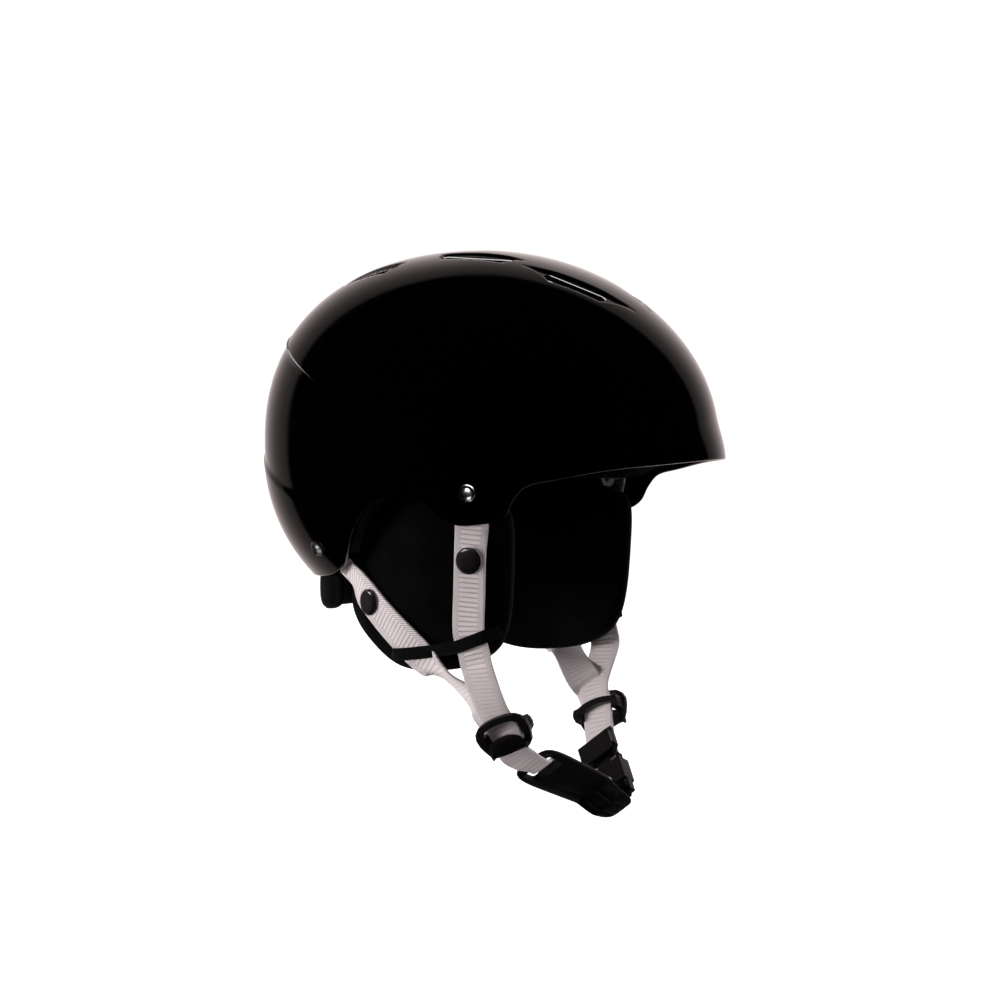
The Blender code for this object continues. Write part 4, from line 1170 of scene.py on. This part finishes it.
def setOut(name, profile, places, radius, paint, slot, replaced):
    turned = stacked(name, Matrix(), [(circle(r, 48), z) for r, z in profile])
    source = newGuide(name + "One", outwards(turned))
    mesh = bpy.data.meshes.new(name)
    mesh.from_pydata([place.translation for place in places], [], [])
    layer = mesh.attributes.new("turn", "FLOAT_VECTOR", "POINT")
    for item, place in zip(layer.data, places):
        item.vector = place.to_euler()
    tree, (spots, size) = newTree(name, {"radius": radius})
    shape = spots.node("GeometryNodeObjectInfo", {"Object": source}, 4)
    turn = spots.node("GeometryNodeInputNamedAttribute", {"Name": "turn"}, data_type="FLOAT_VECTOR")
    facing = turn.node("FunctionNodeEulerToRotation", {"Euler": turn})
    scale = size.node("ShaderNodeCombineXYZ", {0: size, 1: size, 2: 1.0})
    inputs = {"Points": spots, "Instance": shape, "Rotation": facing, "Scale": scale}
    placed = spots.node("GeometryNodeInstanceOnPoints", inputs)
    first = paint[0] if isinstance(paint, tuple) else paint
    plain = bakeTree(name, tree, placed, first, newGuide(name, mesh))
    bpy.data.objects.remove(source)
    made = addPiece(name, plain, "helmet", paint, slot, *replaced)
    made.data.set_sharp_from_angle(angle=math.radians(50.0))
    return made


def placesOn(seat, spots):
    # Frames that face out, the right side first.
    made = []
    for side, _ in sides:
        for spot in spots:
            face, normal = seat(side, *spot)
            made.append(frameAt(face, normal, (0.0, 0.0, 1.0)))
    return made


def shellSeat(side, forward, height):
    face = sideSpot(side, forward, height, domeSide(forward, height, 0.0))
    return face, domeNormal(side, forward, height)


def strapSeat(side, forward, height):
    normal = earNormal(side, forward)
    return earSpot(side, forward, height, strapLift) + normal * (0.5 * web["thick"] + gap), normal


def held(start, *middles):
    return [start + middle + end for end in ("right", "left") for middle in middles]


fronts = placesOn(shellSeat, [frontRivet])
rears = placesOn(shellSeat, [rearRivet])
radius = rivet["radius"]
setOut("rivetsFront", rivetProfile(False), fronts, radius, "chrome", "rivet", held("rivet_", "front_"))
# Steel, with black plastic as painted shade in the rivets' middles.
steelAndPaintedShade = ("steel", "plastic")
rearRivets = setOut("rivetsRear", rivetProfile(True), rears, radius, steelAndPaintedShade, "rivet", held("rivet_", "rear_"))
# The rear rivets are hollow; each dished middle is painted black, a painted shade for the dark inside.
for face in rearRivets.data.polygons:
    local = rears[0 if face.center.x < 0.0 else 1].inverted() @ face.center
    if local.z > 0.0 and math.hypot(local.x, local.y) < rivet["paintedShadeCore"] * radius:
        face.material_index = 1

snapSpots = ((0.0305, -0.0365), (-0.0415, -0.0635))
caps = placesOn(strapSeat, snapSpots)
setOut("snapCaps", snapProfile(), caps, snap["radius"], "gloss", "hardware", held("snap_", "front_", "rear_"))
print("rivets and snap caps made")

# Keepers along the lower edges of the ear pads.
keeper = {"width": 0.0074, "thick": 0.0010, "seam": 0.0026, "seamLift": 0.00055, "seamEnd": 4}
keeperLine = (
    (-0.0275, -0.0918, -0.0036), (-0.0255, -0.0921, -0.0018), (-0.0232, -0.0925, 0.0008),
    (-0.0206, -0.0928, 0.0030), (-0.0080, -0.0914, 0.0032), (0.0060, -0.0893, 0.0032),
    (0.0200, -0.0868, 0.0032), (0.0330, -0.0822, 0.0032), (0.0398, -0.0795, 0.0026),
    (0.0430, -0.0783, -0.0004), (0.0452, -0.0775, -0.0028), (0.0468, -0.0770, -0.0050),
)
seams = []
for side, name in sides:
    line = smoothLine([earSpot(side, *p) for p in keeperLine], 10)
    faces = smoothLine([earNormal(side, p[0]) for p in keeperLine], 10)
    wide = acrossOf(line, faces)
    ribbon(
        "keeper" + name, line, wide, keeper["width"], keeper["thick"], "helmet", "binding", "binding",
        "keeper_" + name.lower(),
    )
    sewn = list(zip(line, wide, faces))[keeper["seamEnd"]:-keeper["seamEnd"]]
    for share in (-keeper["seam"], keeper["seam"]):
        seams.append([p + a * share + f.normalized() * keeper["seamLift"] for p, a, f in sewn])
    edge = earRing(side, ear["seam"], [0.5] * ear["steps"])
    seams.append(edge + edge[:1])


# Stitches along the keepers and the ear pads' seams.
stitchLook = {"spacing": 0.0026, "stitchLength": 0.0010, "stitchRadius": 0.00022}


def stitches(name, lines, look):
    curve = bpy.data.curves.new(name, "CURVE")
    curve.dimensions = "3D"
    for line in lines:
        spline = curve.splines.new("POLY")
        spline.points.add(len(line) - 1)
        for point, spot in zip(spline.points, line):
            point.co = (*spot, 1.0)
    tree, (path, spacing, length, radius) = newTree(name, look)
    points = path.node("GeometryNodeCurveToPoints", {"Curve": path, "Length": spacing}, mode="LENGTH")
    heading = Wire(tree, points.out.node.outputs["Rotation"])
    ball = path.node("GeometryNodeMeshUVSphere", {"Segments": 8, "Rings": 6, "Radius": 1.0})
    vary = path.node("FunctionNodeRandomValue", {2: 0.85, 3: 1.1, "Seed": 7}, 1)
    size = path.node("ShaderNodeCombineXYZ", {0: radius, 1: radius, 2: length * vary})
    inputs = {"Points": points, "Instance": ball, "Rotation": heading, "Scale": size}
    sewn = path.node("GeometryNodeInstanceOnPoints", inputs)
    plain = bakeTree(name, tree, sewn, "thread", newGuide(name, curve))
    return addPiece(name, plain, "helmet", "thread", "binding")


stitches("stitches", seams, stitchLook)
print("keepers and stitches made")


# Locking caps: oval, with stepped rims, on a cross pin.
lockLook = {
    "wide": 0.0112, "high": 0.0058, "half": 0.0021, "pin": 0.0009, "span": 0.0119, "hinge": 0.0026,
    "offset": 0.74, "stud": 0.0030, "studUp": 0.0050,
}
capSteps = (
    (0.02, 1.14), (0.35, 1.12), (0.60, 1.08), (0.72, 1.02), (0.74, 0.92), (0.78, 0.90), (0.86, 0.82),
    (0.88, 0.66), (0.90, 0.62), (0.97, 0.52), (1.00, 0.30), (1.00, 0.00), (0.97, -0.35), (0.85, -0.80),
    (0.02, -0.95),
)


def lockMesh(name, place):
    lift = 0.5 * divider["gap"] + divider["bar"] + lockLook["half"] + gap
    hinge = place @ Matrix.Translation((0.0, lockLook["hinge"] - 0.5 * divider["height"], lift))
    oval = [(lockLook["wide"] * x, lockLook["high"] * y) for x, y in circle(1.0, 56)]
    up = lockLook["high"] * lockLook["offset"]
    rows = [([(x * share, y * share + up) for x, y in oval], z * lockLook["half"]) for share, z in capSteps]
    pin = circle(lockLook["pin"], 24)
    stud = circle(lockLook["stud"], 24)
    under = web["layer"] + 0.5 * web["thick"] + gap - lift
    crosswise = hinge @ Matrix.Rotation(0.5 * math.pi, 4, "Y")
    studFrame = hinge @ Matrix.Translation((0.0, lockLook["studUp"], 0.0))
    return merged(name, (
        stacked(name, hinge, rows),
        stacked(name, crosswise, [(pin, -lockLook["span"]), (pin, lockLook["span"])]),
        stacked(name, studFrame, [(stud, under), (stud, 0.0)]),
    ))


for name, place in dividers.items():
    low = name.lower()
    mesh = lockMesh("lockCap" + name, place)
    cap = addPiece("lockCap" + name, mesh, "lock_" + low, "gloss", "hardware", "divider_lock_" + low)
    cap.data.set_sharp_from_angle(angle=math.radians(45.0))
print("locking caps made")

# Moulded hardware keeps its CAD solid, with softened edges.
softLook = {"voxel": 0.00036, "passes": 6, "strength": 0.5}
for key, node in nodes.items():
    moulded = key.startswith(("divider_left", "divider_right", "buckle_"))
    if moulded or key.startswith("rivet_washer"):
        node.data.materials.clear()
        node.data.materials.append(paints["plastic" if moulded else "steel"])
    if moulded:
        soft = node.modifiers.new("soften", "REMESH")
        soft.mode = "VOXEL"
        soft.voxel_size = softLook["voxel"]
        soft.use_smooth_shade = True
        rounded = node.modifiers.new("round", "SMOOTH")
        rounded.iterations = softLook["passes"]
        rounded.factor = softLook["strength"]
print("hardware painted")

# Floor, background and soft light.
stageLook = {"floor": -0.262, "size": 30.0, "shade": (0.3, 2.2, 0.62, 1.0)}
floorMesh = bpy.data.meshes.new("floor")
corners = ((-1.0, -1.0), (1.0, -1.0), (1.0, 1.0), (-1.0, 1.0))
spots = [(stageLook["size"] * x, stageLook["size"] * y, stageLook["floor"]) for x, y in corners]
floorMesh.from_pydata(spots, [], [(0, 1, 2, 3)])
floor = bpy.data.objects.new("floor", floorMesh)
scene.collection.objects.link(floor)
floorPaint, tree, shader, place = newMaterial("paleFloor")
away = place.node("ShaderNodeVectorMath", {0: place}, 1, operation="LENGTH")
pale = noise(place, 2.0).mixed((0.92, 0.92, 0.92), (0.95, 0.95, 0.95))
feed(tree, shader, colour=pale, rough=0.9, glow=away.step(*stageLook["shade"]))
shader.inputs["Emission Strength"].default_value = 1.0
floorMesh.materials.append(floorPaint)
floor.visible_glossy = False
floor.visible_diffuse = False

world = bpy.data.worlds.new("studio")
scene.world = world
world.use_nodes = True
tree = world.node_tree
ground = tree.nodes["Background"]
ray = Wire(tree, tree.nodes.new("ShaderNodeLightPath").outputs["Is Camera Ray"])
heading = Wire(tree, tree.nodes.new("ShaderNodeTexCoord").outputs["Generated"])
# A white backdrop behind the helmet that falls off to a dark room.
roomLook = {"aim": (0.021, -0.043, 0.060), "edge": (0.49, 0.56), "base": 0.16, "start": 0.55, "climb": 1.75}
backdrop = (-eye + Vector(roomLook["aim"])).normalized()
facing = heading.node("ShaderNodeVectorMath", {0: heading, 1: tuple(backdrop)}, 1, operation="DOT_PRODUCT")
above = (facing - roomLook["start"]).maths("MAXIMUM", 0.0) * (1.0 / (1.0 - roomLook["start"]))
climb = above.maths("POWER", roomLook["climb"])
glow = facing.step(*roomLook["edge"]) * roomLook["base"] + climb * (1.0 - roomLook["base"])
room = glow.mixed((0.0006, 0.0004, 0.0003), (1.0, 0.86, 0.85))
tone = ray.mixed(room, (1.0, 1.0, 1.0))
tree.links.new(tone.out, ground.inputs["Color"])

# Lamps that name what they light also show in its gloss.
lamps = (
    {"name": "keyRight", "at": (-1.6, -1.3, 1.3), "size": 1.2, "power": 8.0},
    {"name": "fillFront", "at": (0.9, -1.9, 0.5), "size": 1.4, "power": 32.0},
    {"name": "lowFront", "at": (-0.7, -1.3, -1.5), "size": 1.2, "power": 92.0},
    {"name": "lowRear", "at": (-0.8, 1.6, -0.4), "size": 1.0, "power": 102.0},
    {"name": "topSoft", "at": (0.2, 0.2, 2.0), "size": 1.6, "power": 30.0},
    {"name": "capGlint", "at": (-0.8, 1.05, 1.2), "size": 0.9, "power": 45.0, "only": "snap"},
    {"name": "ventGlint", "at": (-0.7, 0.0, 1.5), "size": 2.4, "power": 340.0, "only": "vent"},
    {"name": "panelGlint", "at": (0.5, 1.4, 1.3), "size": 1.0, "power": 16.0, "only": "panel"},
    {"name": "rivetGlow", "at": (-1.9, -0.3, 0.35), "size": 0.8, "power": 9.0, "only": "rivet"},
    {"name": "rivetLow", "at": (-1.0, -0.4, -1.5), "size": 0.8, "power": 4.0, "only": "rivet"},
)
for lamp in lamps:
    data = bpy.data.lights.new(lamp["name"], "AREA")
    data.size = lamp["size"]
    data.energy = lamp["power"]
    made = bpy.data.objects.new(lamp["name"], data)
    made.location = lamp["at"]
    made.rotation_euler = (-Vector(lamp["at"])).to_track_quat("-Z", "Y").to_euler()
    made.visible_glossy = "only" in lamp
    scene.collection.objects.link(made)
    if "only" in lamp:
        group = bpy.data.collections.new(lamp["name"] + "Receivers")
        for one in scene.objects:
            if one.name.startswith(lamp["only"]):
                group.objects.link(one)
        made.light_linking.receiver_collection = group
        made.light_linking.blocker_collection = group
print("stage lit")
